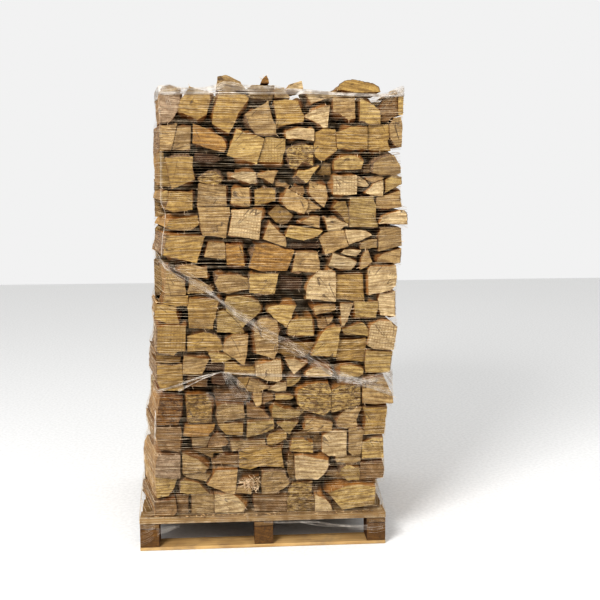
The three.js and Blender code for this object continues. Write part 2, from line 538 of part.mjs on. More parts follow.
const rearLogs = stackedLogs({
  seed: 807,
  courses: 12,
  cell: 146,
  splitShare: 0.5,
  leftAt: (z) => -atHeight(RIGHT_SIDE, z) + REAR_DRAWN_IN,
  rightAt: (z) => -atHeight(LEFT_SIDE, z) - REAR_DRAWN_IN,
  top: 1850,
  wave: 14,
});
stack.add(...row('rear', rearLogs, REAR_ROW, rearSpread, BUNDLE.rear));

// The pallet, from the ground up.
function board(name, size, place, material) {
  const mesh = new THREE.Mesh(new THREE.BoxGeometry(...size), material);
  mesh.name = name;
  mesh.position.set(...place);
  return mesh;
}

const pallet = new THREE.Group();
const sides = { left: -1, centre: 0, right: 1 };
const depths = { front: -1, middle: 0, rear: 1 };
const stringerX = (PALLET - BLOCK.width) / 2;
const bottomY = (PALLET - BOTTOM_BOARD.width) / 2;
const blockBase = BOTTOM_BOARD.thick + GAP;
const stringerBase = BOTTOM_BOARD.thick + BLOCK.tall + GAP;
const deckBase = DECK_TOP - DECK.thick + GAP;

for (const [depth, y] of Object.entries(depths)) {
  const size = [PALLET, BOTTOM_BOARD.width, BOTTOM_BOARD.thick];
  const place = [0, y * bottomY, BOTTOM_BOARD.thick / 2];
  pallet.add(board(`bottom_board_${depth}`, size, place, deckWood));
}
for (const [where, x] of Object.entries(sides)) {
  for (const [depth, y] of Object.entries(depths)) {
    const tall = BLOCK.tall - GAP;
    const place = [x * stringerX, y * bottomY, blockBase + tall / 2];
    pallet.add(board(`block_${depth}_${where}`, [BLOCK.width, BLOCK.length, tall], place, blockWood));
  }
  const thick = STRINGER_THICK - GAP;
  const place = [x * stringerX, 0, stringerBase + thick / 2];
  pallet.add(board(`stringer_${where}`, [BLOCK.width, PALLET, thick], place, deckWood));
}
for (let i = 0; i < DECK.boards; i += 1) {
  const thick = DECK.thick - GAP;
  const y = (i / (DECK.boards - 1) - 0.5) * (PALLET - DECK.width);
  const size = [PALLET, DECK.width, thick];
  pallet.add(board(`deck_board_${i + 1}`, size, [0, y, deckBase + thick / 2], deckWood));
}

// The net is drawn tight round the stack and the deck, so at each height its loop is a convex
// outline with eight sides. Each side faces one way and just clears what sticks out furthest.
const NET = { clear: 2.5, thick: 2.5, rib: 9 };
const NET_FACES = [[0, -1], [1, -0.2], [1, 0], [1, 0.155], [0, 1], [-1, 0.155], [-1, 0], [-1, -0.2]]
  .map(([x, y]) => new THREE.Vector2(x, y).normalize());
const NET_HEIGHTS = [108, 136, 225, 400, 620, 840, 1060, 1280, 1500, 1700, 1852];

function edgesOf(objects) {
  const edges = [];
  for (const mesh of objects) {
    mesh.updateWorldMatrix(true, false);
    const { index, attributes } = mesh.geometry;
    const corner = (i) => new THREE.Vector3().fromBufferAttribute(attributes.position, index.getX(i))
      .applyMatrix4(mesh.matrixWorld);
    for (let i = 0; i < index.count; i += 3) {
      const [a, b, c] = [corner(i), corner(i + 1), corner(i + 2)];
      edges.push([a, b], [b, c], [c, a]);
    }
  }
  return edges;
}

// How far the edges stick out in one direction, between two heights.
function furthest(edges, facing, low, high) {
  let most = -Infinity;
  for (const [a, b] of edges) {
    if (Math.max(a.z, b.z) < low || Math.min(a.z, b.z) > high) continue;
    const rise = b.z - a.z;
    for (const z of [low, high]) {
      const along = rise === 0 ? 0 : THREE.MathUtils.clamp((z - a.z) / rise, 0, 1);
      const x = a.x + (b.x - a.x) * along;
      const y = a.y + (b.y - a.y) * along;
      most = Math.max(most, facing.x * x + facing.y * y);
    }
  }
  return most;
}

const deckBoards = pallet.children.filter(({ name }) => name.startsWith('deck'));
const wrapped = edgesOf([...stack.children, ...deckBoards]);
const faceLines = NET_FACES.map((facing) => NET_HEIGHTS.map((height, level) => {
  const low = NET_HEIGHTS[Math.max(0, level - 1)];
  const high = NET_HEIGHTS[level + 1] ?? 2000;
  return [height, furthest(wrapped, facing, low, high) + NET.clear];
}));

// Where two faces that meet lie furthest out, at a height, with something added for thickness.
function netCorner(face, z, added) {
  const a = NET_FACES[face];
  const b = NET_FACES[(face + 1) % NET_FACES.length];
  const outA = atHeight(faceLines[face], z) + added;
  const outB = atHeight(faceLines[(face + 1) % NET_FACES.length], z) + added;
  const turn = a.cross(b);
  return [(outA * b.y - outB * a.y) / turn, (outB * a.x - outA * b.x) / turn];
}

// A closed solid through cross-sections of as many points each. It is capped, or runs into itself.
function loft(sections, closed) {
  const per = sections[0].length;
  const indices = [];
  const last = closed ? sections.length : sections.length - 1;
  for (let i = 0; i < last; i += 1) {
    for (let j = 0; j < per; j += 1) {
      const here = i * per;
      const next = ((i + 1) % sections.length) * per;
      const [a, b] = [here + j, here + ((j + 1) % per)];
      const [c, d] = [next + ((j + 1) % per), next + j];
      indices.push(a, c, b, a, d, c);
    }
  }
  if (!closed) {
    const top = last * per;
    for (let j = 1; j < per - 1; j += 1) {
      indices.push(0, j, j + 1, top, top + j + 1, top + j);
    }
  }
  const geometry = new THREE.BufferGeometry();
  geometry.setAttribute('position', new THREE.Float32BufferAttribute(sections.flat(2), 3));
  geometry.setIndex(indices);
  return toSolid(geometry);
}

function netHoop(low, high) {
  return loft(NET_FACES.map((_, face) => [
    [...netCorner(face, low, 0), low],
    [...netCorner(face, low, NET.thick), low],
    [...netCorner(face, high, NET.thick), high],
    [...netCorner(face, high, 0), high],
  ]), true);
}

// A gathered line of net that runs up one face, at a share of the face's width.
function netRib(face, share) {
  const spot = (z, added, aside) => {
    const [x0, y0] = netCorner((face + NET_FACES.length - 1) % NET_FACES.length, z, added);
    const [x1, y1] = netCorner(face, z, added);
    const length = Math.hypot(x1 - x0, y1 - y0);
    return [...partWay([x0, y0], [x1, y1], share + aside / length), z];
  };
  return loft(NET_HEIGHTS.map((z) => [
    spot(z, 0, -NET.rib / 2),
    spot(z, 0, NET.rib / 2),
    spot(z, NET.thick, NET.rib / 2),
    spot(z, NET.thick, -NET.rib / 2),
  ]), false);
}

// The rope of twisted net across the front, between its left-hand knot and the right-hand bunch.
const ROPE = { width: 9, thick: 3 };
const ROPE_LINE = [
  [-408, 1172], [-340, 1145], [-230, 1070], [-140, 990], [-60, 915],
  [130, 830], [260, 750], [400, 672], [528, 690],
];
const ropeSide = (lift) => ROPE_LINE.map(([x, z]) => new THREE.Vector2(x, z + lift));
const ropeShape = new THREE.Shape([...ropeSide(-ROPE.width / 2), ...ropeSide(ROPE.width / 2).reverse()]);
const rope = new THREE.ExtrudeGeometry(ropeShape, { depth: ROPE.thick, bevelEnabled: false });
rope.rotateX(Math.PI / 2);
rope.translate(0, -atHeight(faceLines[0], 900), 0);

const hoops = [[112, 130], [396, 404], [692, 700], [976, 984], [1276, 1284], [1556, 1564], [1816, 1842]];
const net = new THREE.Mesh(
  joined([
    ...hoops.map(([low, high]) => netHoop(low, high)),
    netRib(0, 0.012),
    netRib(0, 0.988),
    netRib(4, 0.03),
    netRib(4, 0.97),
    toSolid(rope),
  ]),
  netFibre,
);
net.name = 'net_wrap';

const palletOfFirewood = new THREE.Group();
palletOfFirewood.add(pallet, stack, net);

export default palletOfFirewood;
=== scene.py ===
import json
import math
from collections import namedtuple

import bpy
import numpy as np
from mathutils import Matrix, Vector, noise
from mathutils.geometry import delaunay_2d_cdt, tessellate_polygon
from numpy.linalg import norm

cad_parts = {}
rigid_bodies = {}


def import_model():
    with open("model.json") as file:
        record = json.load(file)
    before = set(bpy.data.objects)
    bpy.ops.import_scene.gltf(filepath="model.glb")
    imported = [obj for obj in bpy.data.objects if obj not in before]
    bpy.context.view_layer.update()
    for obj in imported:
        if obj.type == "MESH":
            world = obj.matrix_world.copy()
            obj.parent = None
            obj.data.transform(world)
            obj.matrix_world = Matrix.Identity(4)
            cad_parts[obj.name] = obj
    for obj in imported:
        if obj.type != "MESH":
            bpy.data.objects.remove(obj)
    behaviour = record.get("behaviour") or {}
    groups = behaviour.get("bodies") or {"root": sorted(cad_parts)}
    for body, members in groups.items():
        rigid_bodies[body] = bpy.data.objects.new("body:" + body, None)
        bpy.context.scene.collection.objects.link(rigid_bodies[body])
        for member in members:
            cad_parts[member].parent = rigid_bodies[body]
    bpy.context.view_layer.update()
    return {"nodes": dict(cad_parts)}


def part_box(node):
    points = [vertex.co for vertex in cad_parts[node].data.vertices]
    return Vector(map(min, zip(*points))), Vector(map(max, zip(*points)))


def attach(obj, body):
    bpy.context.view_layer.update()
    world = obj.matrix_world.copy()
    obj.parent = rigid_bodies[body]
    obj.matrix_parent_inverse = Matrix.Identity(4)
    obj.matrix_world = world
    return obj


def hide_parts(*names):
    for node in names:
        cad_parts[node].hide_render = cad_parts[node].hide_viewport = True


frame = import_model()
scene = bpy.context.scene

# The camera: it stands 3.8 m in front of the pallet, a little to its left, and looks slightly down.
# It is turned from straight ahead by small angles, in degrees.
CAMERA_PLACE = (-0.14, -4.33, 1.53)
CAMERA_TURNS = {"Z": -4.34, "X": -7.62, "Y": 0.19}
SENSOR_WIDTH = 36
LENS = 58.8

turned = Matrix.Identity(3)
for axis, degrees in CAMERA_TURNS.items():
    turned = turned @ Matrix.Rotation(math.radians(degrees), 3, axis)
# A camera looks along its own -Z with its Y up, so its Z is the turned -Y and its Y the turned Z.
axes = Matrix((turned.col[0], turned.col[2], -turned.col[1])).transposed()
camera = bpy.data.objects.new("camera", bpy.data.cameras.new("camera"))
camera.data.sensor_width = SENSOR_WIDTH
camera.data.lens = LENS
camera.matrix_world = Matrix.Translation(CAMERA_PLACE) @ axes.to_4x4()
scene.collection.objects.link(camera)
scene.camera = camera

# The light: a pale, even sky, one large soft light high on the left and a weaker one low on the
# right. The view settings give the picture the strong contrast of a daylight photograph.
SKY_STRENGTH = 0.63

scene.view_settings.view_transform = "Standard"
scene.view_settings.look = "High Contrast"
world = bpy.data.worlds.new("pale_sky")
world.use_nodes = True
world.node_tree.nodes["Background"].inputs["Color"].default_value = (1.0, 1.0, 1.0, 1)
world.node_tree.nodes["Background"].inputs["Strength"].default_value = SKY_STRENGTH
scene.world = world


def soft_light(name, place, aim, size, power):
    lamp = bpy.data.lights.new(name, "AREA")
    lamp.size = size
    lamp.energy = power
    made = bpy.data.objects.new(name, lamp)
    facing = (Vector(aim) - Vector(place)).to_track_quat("-Z", "Y")
    made.matrix_world = Matrix.Translation(place) @ facing.to_matrix().to_4x4()
    scene.collection.objects.link(made)


soft_light("high_left", (-2.2, -4.2, 4.2), (0, -0.2, 0.9), 1.8, 247)
soft_light("low_right", (3.2, -3.4, 2.0), (0, 0, 0.9), 3.0, 43)


# The floor: plain and pale, with a faint speckle. It isn't part of the object. Its material is the
# first, so the two small classes that write every material of this file stand here.
class Field:
    """One output of a material's node, on which sums can be written."""

    def __init__(self, look, socket):
        self.look = look
        self.socket = socket

    def __add__(self, other):
        return self.look.maths("ADD", self, other)

    def __sub__(self, other):
        return self.look.maths("SUBTRACT", self, other)

    def __rsub__(self, other):
        return self.look.maths("SUBTRACT", other, self)

    def __mul__(self, other):
        return self.look.maths("MULTIPLY", self, other)

    def __abs__(self):
        return self.look.maths("ABSOLUTE", self)

    __radd__ = __add__
    __rmul__ = __mul__

    def between(self, low, high, to_low=0.0, to_high=1.0):
        """Spreads low to high over to_low to to_high, with soft ends."""
        values = {"Value": self, 1: low, 2: high, 3: to_low, 4: to_high}
        return self.look.node("MapRange", {"interpolation_type": "SMOOTHSTEP"}, values)


class Look:
    """One material. Its nodes all come from node(), with settings first and then sockets."""

    def __init__(self, name):
        self.material = bpy.data.materials.new(name)
        self.material.use_nodes = True
        self.tree = self.material.node_tree
        self.tree.nodes.clear()

    def node(self, kind, settings, sockets, output=0):
        made = self.tree.nodes.new("ShaderNode" + kind)
        for key, value in settings.items():
            setattr(made, key, value)
        for key, value in sockets.items():
            if isinstance(value, Field):
                self.tree.links.new(value.socket, made.inputs[key])
            else:
                made.inputs[key].default_value = value
        return Field(self, made.outputs[output])

    def maths(self, operation, *values):
        return self.node("Math", {"operation": operation}, dict(enumerate(values)))

    def vector(self, operation, *values, output=0):
        return self.node("VectorMath", {"operation": operation}, dict(enumerate(values)), output)

    def read(self, name, output="Fac"):
        return self.node("Attribute", {"attribute_name": name}, {}, output)

    def place(self):
        return self.node("TexCoord", {}, {}, "Object")

    def part(self, vector, number):
        """X, Y or Z of a vector, by number."""
        return self.node("SeparateXYZ", {}, {0: vector}, number)

    def joined(self, x, y, z):
        return self.node("CombineXYZ", {}, {0: x, 1: y, 2: z})

    def cloud(self, vector, scale, detail=2.0, rough=0.5):
        sockets = {"Vector": vector, "Scale": scale, "Detail": detail, "Roughness": rough}
        return self.node("TexNoise", {}, sockets)

    def mix(self, factor, a, b, way="MIX"):
        settings = {"data_type": "RGBA", "blend_type": way}
        return self.node("Mix", settings, {0: factor, 6: a, 7: b}, 2)

    def times(self, colour, tone):
        return self.mix(1.0, colour, tone, "MULTIPLY")

    def stained(self, colour, mask, tone):
        """The colour, multiplied by a tone where the mask is 1."""
        return self.mix(mask, colour, self.times(colour, tone))

    def finish(self, colour, roughness, height, relief, **rest):
        """The surface itself: height is in metres of relief."""
        bump = self.node("Bump", {}, {"Strength": 1.0, "Distance": relief, "Height": height})
        sockets = {"Base Color": colour, "Roughness": roughness, "Normal": bump, **rest}
        surface = self.node("BsdfPrincipled", {}, sockets)
        output = self.tree.nodes.new("ShaderNodeOutputMaterial")
        self.tree.links.new(surface.socket, output.inputs["Surface"])
        return self.material


FLOOR_REACH = 9

floor_look = Look("pale_floor")
speckle = floor_look.cloud(floor_look.place(), 60.0, 3.0)
pale = floor_look.mix(speckle.between(0.35, 0.65), (0.74, 0.74, 0.735, 1), (0.80, 0.80, 0.795, 1))
floor_mesh = bpy.data.meshes.new("floor")
floor_corners = [(x * FLOOR_REACH, y * FLOOR_REACH, 0) for x, y in ((-1, -1), (1, -1), (1, 1), (-1, 1))]
floor_mesh.from_pydata(floor_corners, [], [(0, 1, 2, 3)])
floor_mesh.materials.append(floor_look.finish(pale, 0.8, speckle, 0.0005))
floor = bpy.data.objects.new("floor", floor_mesh)
scene.collection.objects.link(floor)


# The pallet: three boards underneath, nine blocks, three stringers and seven deck boards of softwood,
# sawn square and nailed through. Handling has rounded and chipped their edges a little. A sawn end
# shows rings round the heart, cracks and the marks of the saw, with painted shadows and highlights of
# the net's threads along them, and a side shows its fibres.

# What the warm bounce between pale wood adds to red, green and blue is taken out of each tone.
LIGHT_TAKEN_OUT = (0.93, 0.99, 1.16)
BOARD_WEAR = 0.0022
BOARD_POINTS_EVERY = 0.016
BOARD_RINGS_EVERY = 0.03
# What the materials read from the points of a piece of wood: its tone, where the heart of the tree
# was, how saw-marked and rough an end is and its own number, and where bark and rims are.
READ_BY_LOOKS = {
    "tint": ("FLOAT_COLOR", "color"), "heart": ("FLOAT_VECTOR", "vector"),
    "marks": ("FLOAT_VECTOR", "vector"), "bark": ("FLOAT", "value"), "rim": ("FLOAT", "value"),
}


def paint(red, green, blue):
    """A colour as it is seen in this light, as the linear colour that a material takes."""
    seen = np.array([red, green, blue]) / 255
    linear = np.where(seen <= 0.04045, seen / 12.92, ((seen + 0.055) / 1.055) ** 2.4)
    return linear * LIGHT_TAKEN_OUT


def across_the_grain(name, ring_width, bump, torn, flat=(1, 0, 1)):
    """A sawn end. torn is how much of the lines across it shows, which are saw marks with painted shadows
    and highlights of the net's threads; flat has a 0 for the fibres' axis.
    """
    look = Look(name)
    place = look.place()
    marks = look.read("marks", "Vector")
    saw, rough, seed = (look.part(marks, number) for number in range(3))
    away = look.vector("SUBTRACT", place, look.read("heart", "Vector"))
    away = look.vector("MULTIPLY", away, flat)
    across = look.part(away, 0 if flat[0] else 1)
    upward = look.part(away, 2)
    reach = look.vector("LENGTH", away, output="Value")

    # rings round the heart, a little uneven
    drift = look.cloud(place, 28.0, 2.0)
    rings = look.maths("SINE", (reach + drift * 0.012) * (2 * math.pi / ring_width)).between(0.1, 1.0)

    # drying cracks that run out from the heart, in patches
    angle = look.maths("ARCTAN2", upward, across)
    spoke = look.joined(angle * 2.6, reach * 2.5, seed * 17.0)
    split = look.cloud(spoke, 1.5, 1.0, 0.4)
    patch = look.cloud(look.vector("MULTIPLY", place, (1, 0.2, 1)), 20.0, 1.0).between(0.50, 0.56)
    cracks = abs(split - 0.5).between(0.0, 0.016, 1.0, 0.0) * patch

    # lines across each end at its own angle, partly marks of the saw and partly painted shadows and
    # highlights of the net's threads, and on saw-marked ends a crossed grid, partly the marks of a saw
    # that turned and partly painted shadows of the threads
    swing = (seed - 0.5) * 0.5
    level = look.maths("COSINE", swing)
    steep = look.maths("SINE", swing)
    along = across * level + upward * steep
    over = upward * level - across * steep
    saw_and_thread_lines = look.cloud(look.joined(along * 9.0, over * 125.0, seed * 9.0), 1.0, 2.0)
    waver = look.cloud(place, 24.0, 1.0) * 5.0
    lines = [(line * (2 * math.pi / 0.0115)) + waver for line in (over, along)]
    weave = [look.maths("SINE", line).between(0.1, 0.9) for line in lines]
    woven = look.maths("MAXIMUM", weave[0], weave[1] * 0.8)

    mottle = look.cloud(place, 38.0, 4.0, 0.7)
    grains = look.cloud(place, 150.0, 3.0, 0.7)
    fibre = look.cloud(place, 420.0, 2.0)
    pits = look.cloud(look.vector("MULTIPLY", place, (1, 1, 2.2)), 58.0, 4.0, 0.75).between(0.42, 0.54)
    pitted = (1.0 - pits) * rough

    shade = look.mix(mottle.between(0.3, 0.7), (0.74, 0.70, 0.63, 1), (1.12, 1.12, 1.11, 1))
    fleck = look.mix(grains.between(0.3, 0.62), (0.78, 0.73, 0.66, 1), (1.08, 1.08, 1.08, 1))
    # painted light: lighter and darker lines like the net's threads and their shadows, which also stand
    # for saw marks
    streak = look.mix(saw_and_thread_lines.between(0.38, 0.62), (1.22, 1.22, 1.22, 1), (0.61, 0.54, 0.45, 1))
    crossed = woven * (saw - 0.75).between(0.0, 0.25, 0.0, 0.9) * mottle.between(0.3, 0.6)
    rim = look.read("rim").between(0.35, 1.0) * look.cloud(place, 75.0, 2.0).between(0.35, 0.6)
    colour = look.times(look.read("tint", "Color"), look.times(shade, fleck))
    colour = look.stained(colour, (saw - 0.75).between(0.0, 0.25, torn, 0.4), streak)
    colour = look.stained(colour, rings * 0.34, (0.66, 0.58, 0.48, 1))
    # the crossed grid darkens the end: partly saw marks, partly painted shadows of the threads
    colour = look.stained(colour, crossed, (0.50, 0.41, 0.30, 1))
    colour = look.stained(colour, pitted, (0.30, 0.21, 0.14, 1))
    colour = look.mix(cracks * 0.85, colour, (0.055, 0.032, 0.018, 1))
    colour = look.stained(colour, rim * 0.12, (0.45, 0.34, 0.24, 1))
    colour = look.mix(look.read("bark").between(0.80, 0.90), colour, (0.105, 0.068, 0.042, 1))

    height = mottle * 0.4 + fibre * 0.12 + saw_and_thread_lines * saw * 0.6 - cracks * 0.9 - pitted * 0.9 - rings * 0.12
    return look.finish(colour, mottle.between(0.2, 0.8, 0.72, 0.9), height, bump)


def along_the_grain(name, run, shade_dark, shade_pale, bump, wear):
    """A side with fibres. run is how a fibre is stretched in X, Y and Z."""
    look = Look(name)
    place = look.place()
    seed = look.part(look.read("marks", "Vector"), 2)
    shift = look.joined(seed * 3.0, seed * 5.0, seed * 7.0)
    shifted = look.vector("ADD", look.vector("MULTIPLY", place, run), shift)
    fibre = look.cloud(shifted, 260.0, 3.0, 0.6)
    bands = look.cloud(shifted, 48.0, 3.0, 0.6)
    broad = look.cloud(place, 9.0, 2.0)
    stain = look.cloud(place, 13.0, 3.0, 0.6)
    colour = look.mix(bands.between(0.25, 0.75), shade_dark, shade_pale)
    colour = look.times(colour, look.read("tint", "Color"))
    dimmed = look.times(colour, (0.66, 0.57, 0.47, 1))
    colour = look.mix(fibre.between(0.35, 0.62) * 0.45, dimmed, colour)
    worn = look.times(colour, (0.80, 0.78, 0.76, 1))
    colour = look.mix(broad.between(0.35, 0.65), worn, colour)
    colour = look.mix(stain.between(0.5, 0.72) * wear, colour, (0.17, 0.125, 0.09, 1))
    height = fibre * 0.55 + bands * 0.8
    return look.finish(colour, fibre.between(0.2, 0.8, 0.66, 0.88), height, bump)


def empty_parts():
    """Lists of the points and faces of a piece, the material of each face, and what the looks read."""
    return {key: [] for key in ("places", "faces", "surface", *READ_BY_LOOKS)}


def same_for_all(parts, first, **values):
    """Gives all points from number first on the same values."""
    added = len(parts["places"]) - first
    for key, value in values.items():
        parts[key] += [value] * added


def walls(first, rings, sides):
    """Faces between rings of points. Seen from the last ring, each ring has to run anticlockwise."""
    faces = []
    for start in range(first, first + (rings - 1) * sides, sides):
        for i in range(sides):
            j = (i + 1) % sides
            faces.append((start + i, start + j, start + sides + j, start + sides + i))
    return faces


def piece_from(name, parts, looks):
    """A mesh object from its lists of parts."""
    mesh = bpy.data.meshes.new(name)
    mesh.from_pydata(parts["places"], [], parts["faces"])
    for look in looks:
        mesh.materials.append(look)
    mesh.polygons.foreach_set("material_index", parts["surface"])
    for key, (kind, field) in READ_BY_LOOKS.items():
        attribute = mesh.attributes.new(key, kind, "POINT")
        attribute.data.foreach_set(field, np.array(parts[key], np.float32).ravel())
    mesh.update()
    made = bpy.data.objects.new(name, mesh)
    scene.collection.objects.link(made)
    return made


def build_board(parts, node, run, seed, tone):
    """A board or block inside the box of its CAD node, with its fibres along axis number run."""
    low, high = (np.array(corner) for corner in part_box(node))
    side, up = [number for number in range(3) if number != run]
    size = high - low
    left, right, bottom, top = low[side], high[side], low[up], high[up]
    corners = np.array([(left, bottom), (right, bottom), (right, top), (left, top)])
    turns = np.array([(0.0, 1.0), (-1.0, 0.0), (0.0, -1.0), (1.0, 0.0)])
    outline = []
    inward = []
    for corner, after, turn, before in zip(corners, np.roll(corners, -1, 0), turns, np.roll(turns, 1, 0)):
        outline.append(corner + (turn + before) * BOARD_WEAR * 0.3)
        inward.append((turn + before) * 0.7)
        length = np.abs(after - corner).max()
        pieces = max(2, round(length / BOARD_POINTS_EVERY))
        for i in range(pieces + 1):
            share = BOARD_WEAR / length + (1 - 2 * BOARD_WEAR / length) * i / pieces
            outline.append(corner * (1 - share) + after * share)
            inward.append(turn)
    is_arris = np.abs(inward).min(1) > 0.1

    length = size[run]
    inner_steps = np.linspace(0.02, length - 0.02, max(2, round(length / BOARD_RINGS_EVERY)))
    steps = [0, 0.0015, 0.006, *inner_steps, length - 0.006, length - 0.0015, length]
    for step in steps:
        for spot, turn, arris in zip(outline, inward, is_arris):
            at = Vector((spot[0] * 9, spot[1] * 9, (low[run] + step) * 3 + seed * 7))
            sunk = 0.0003 + 0.0005 * (1 + noise.noise(at * 2.6))
            if arris:
                sunk += max(0.0, noise.noise(at * 5.1) - 0.25) * 0.006
            if step in (0, length):
                sunk += 0.0012
            place = [0.0, 0.0, 0.0]
            place[run] = low[run] + step
            place[side], place[up] = spot + turn * sunk
            parts["places"].append(place)
    total = len(outline)
    last = (len(steps) - 1) * total
    faces = walls(0, len(steps), total)
    faces.append(tuple(reversed(range(total))))
    faces.append(tuple(range(last, last + total)))
    if run == 1:
        faces = [tuple(reversed(face)) for face in faces]
    parts["faces"] += faces
    parts["surface"] += [1] * (len(faces) - 2) + [0, 0]
    heart = (low + high) / 2 + [0.0, 0.0, -0.05 - 0.02 * math.sin(seed * 5)]
    marks = [0.5, 0.25, (seed * 0.618) % 1]
    same_for_all(parts, 0, bark=0.0, rim=0.0, tint=[*tone, 1.0], heart=heart.tolist(), marks=marks)


ENDS_IN_X = across_the_grain("board_end_x", 0.0045, 0.0012, 0.3, (0, 1, 1))
ENDS_IN_Y = across_the_grain("board_end_y", 0.0045, 0.0012, 0.3)
BOARD_IN_X = along_the_grain(
    "board_along_x", (0.03, 1, 1), (0.86, 0.79, 0.68, 1), (1.08, 1.05, 1.0, 1), 0.0012, 0.35
)
BOARD_IN_Y = along_the_grain(
    "board_along_y", (1, 0.03, 1), (0.72, 0.62, 0.5, 1), (1.0, 0.93, 0.84, 1), 0.0014, 0.6
)
BOARD_TONES = {
    "bottom": paint(222, 192, 136), "block": paint(110, 77, 33),
    "stringer": paint(124, 96, 58), "deck": paint(170, 144, 98),
}
for number, node in enumerate(sorted(frame["nodes"])):
    kind = node.split("_")[0]
    if kind not in BOARD_TONES:
        continue
    parts = empty_parts()
    tone = BOARD_TONES[kind] * (0.92 + 0.16 * ((number * 0.618) % 1))
    in_x = kind in ("bottom", "deck")
    build_board(parts, node, 0 if in_x else 1, float(number), tone)
    looks = [ENDS_IN_X, BOARD_IN_X] if in_x else [ENDS_IN_Y, BOARD_IN_Y]
    sawn = piece_from("sawn_" + node, parts, looks)
    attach(sawn, "root")
    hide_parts(node)
    "block_wood" if kind == "block" else "deck_wood"


# The nails: two with broad round heads where each deck board crosses a stringer, driven in until the
# head is flush. They are set out with Geometry Nodes, as all that repeats or follows a line is here,
# and what has grown is then kept as a plain mesh.
class Grower:
    """A Geometry Nodes tree that is run once over a mesh."""

    def __init__(self, name):
        self.tree = bpy.data.node_groups.new(name, "GeometryNodeTree")
        self.tree.interface.new_socket("Geometry", in_out="INPUT", socket_type="NodeSocketGeometry")
        self.values = {}
        self.start = self.tree.nodes.new("NodeGroupInput")
        self.mesh = self.start.outputs["Geometry"]

    def node(self, kind, settings, sockets, output=0):
        made = self.tree.nodes.new(kind)
        for key, value in settings.items():
            setattr(made, key, value)
        named = {socket.identifier: socket for socket in made.inputs}
        for key, value in sockets.items():
            if isinstance(value, bpy.types.NodeSocket):
                self.tree.links.new(value, named[key])
            else:
                named[key].default_value = value
        return made.outputs[output]

    def setting(self, name, kind, value):
        """A named input of the tree, and its value."""
        made = self.tree.interface.new_socket(name, in_out="INPUT", socket_type="NodeSocket" + kind)
        self.values[made.identifier] = value
        return self.start.outputs[name]

    def stored(self, name, kind):
        """What the mesh has stored for each point under a name."""
        return self.node("GeometryNodeInputNamedAttribute", {"data_type": kind}, {"Name": name})

    def set_out(self, form, points=None, **sockets):
        """A copy of the form at each point, or else at each corner of the mesh."""
        chosen = self.setting("Form", "Object", form)
        copies = self.node("GeometryNodeObjectInfo", {}, {"Object": chosen}, "Geometry")
        if points is None:
            points = self.node("GeometryNodeMeshToPoints", {}, {"Mesh": self.mesh})
        sockets = {"Points": points, "Instance": copies, **sockets}
        return self.node("GeometryNodeInstanceOnPoints", {}, sockets)

    def run(self, name, mesh, grown, look):
        """Realizes what has grown, gives it its material and makes a plain object of it."""
        real = self.node("GeometryNodeRealizeInstances", {}, {"Geometry": grown})
        dressed = self.node("GeometryNodeSetMaterial", {}, {"Geometry": real, "Material": look})
        self.tree.interface.new_socket("Geometry", in_out="OUTPUT", socket_type="NodeSocketGeometry")
        finish = self.tree.nodes.new("NodeGroupOutput")
        self.tree.links.new(dressed, finish.inputs[0])
        made = bpy.data.objects.new(name, mesh)
        scene.collection.objects.link(made)
        modifier = made.modifiers.new("grow", "NODES")
        modifier.node_group = self.tree
        for identifier, value in self.values.items():
            modifier[identifier] = value
        settled = made.evaluated_get(bpy.context.evaluated_depsgraph_get())
        kept = bpy.data.meshes.new_from_object(settled)
        made.modifiers.remove(modifier)
        made.data = kept
        kept.name = name
        return made


def points_mesh(name, points, edges=(), **attributes):
    """A mesh of points, and of lines between them, with values stored for each point."""
    mesh = bpy.data.meshes.new(name)
    mesh.from_pydata([tuple(p) for p in points], list(edges), [])
    for key, values in attributes.items():
        values = np.array(values, np.float32)
        kind, field = ("FLOAT", "value") if values.ndim == 1 else ("FLOAT_VECTOR", "vector")
        mesh.attributes.new(key, kind, "POINT").data.foreach_set(field, values.ravel())
    return mesh


def turned_form(name, profile, sides):
    """A closed form turned about Z, from (radius, height) pairs that go up."""
    points = []
    for radius, height in profile:
        for i in range(sides):
            angle = 2 * math.pi * i / sides
            points.append((radius * math.cos(angle), radius * math.sin(angle), height))
    caps = [tuple(reversed(range(sides))), tuple(range(len(points) - sides, len(points)))]
    mesh = bpy.data.meshes.new(name)
    mesh.from_pydata(points, [], caps + walls(0, len(profile), sides))
    return bpy.data.objects.new(name, mesh)


NAIL_PROFILE = [(0.0024, -0.002), (0.0024, 0.0), (0.0046, 0.0001), (0.0046, 0.0006), (0.0038, 0.0009)]
NAIL_SUNK = 0.0008

nail_look = Look("nail_steel")
rust = nail_look.cloud(nail_look.place(), 900.0, 3.0).between(0.4, 0.6)
steel = nail_look.mix(rust, (0.34, 0.33, 0.32, 1), (0.22, 0.13, 0.08, 1))
dullness = rust.between(0, 1, 0.35, 0.8)
NAIL_STEEL = nail_look.finish(steel, dullness, rust, 0.0002, Metallic=rust.between(0, 1, 0.9, 0.2))
nail = turned_form("nail", NAIL_PROFILE, 10)
nail_points = []
for node in sorted(frame["nodes"]):
    if node.startswith("deck_board"):
        low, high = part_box(node)
        for stringer in ("stringer_left", "stringer_centre", "stringer_right"):
            x = sum(corner.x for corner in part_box(stringer)) / 2
            for offset in (-0.024, 0.026):
                nail_points.append((x + offset * 0.6, (low.y + high.y) / 2 + offset, high.z - NAIL_SUNK))
grower = Grower("nails")
nails = grower.run("deck_nails", points_mesh("nails", nail_points), grower.set_out(nail), NAIL_STEEL)
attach(nails, "root")


# The split logs: air-dried beech and birch, sawn to about 0.3 m, split, and stacked from front to back
# in three rows that hold by their weight. A log has a sawn end a degree or two off square, sides that
# follow the grain in long ridges and, on some logs, dark furrowed bark. The CAD holds them in groups.
INNER_END = {"front": -0.150, "middle": 0.150, "rear": 0.168}
TURN_ROUND = np.array([-1, -1, 1])
Log = namedtuple("Log", "shown inner shown_y inner_y")


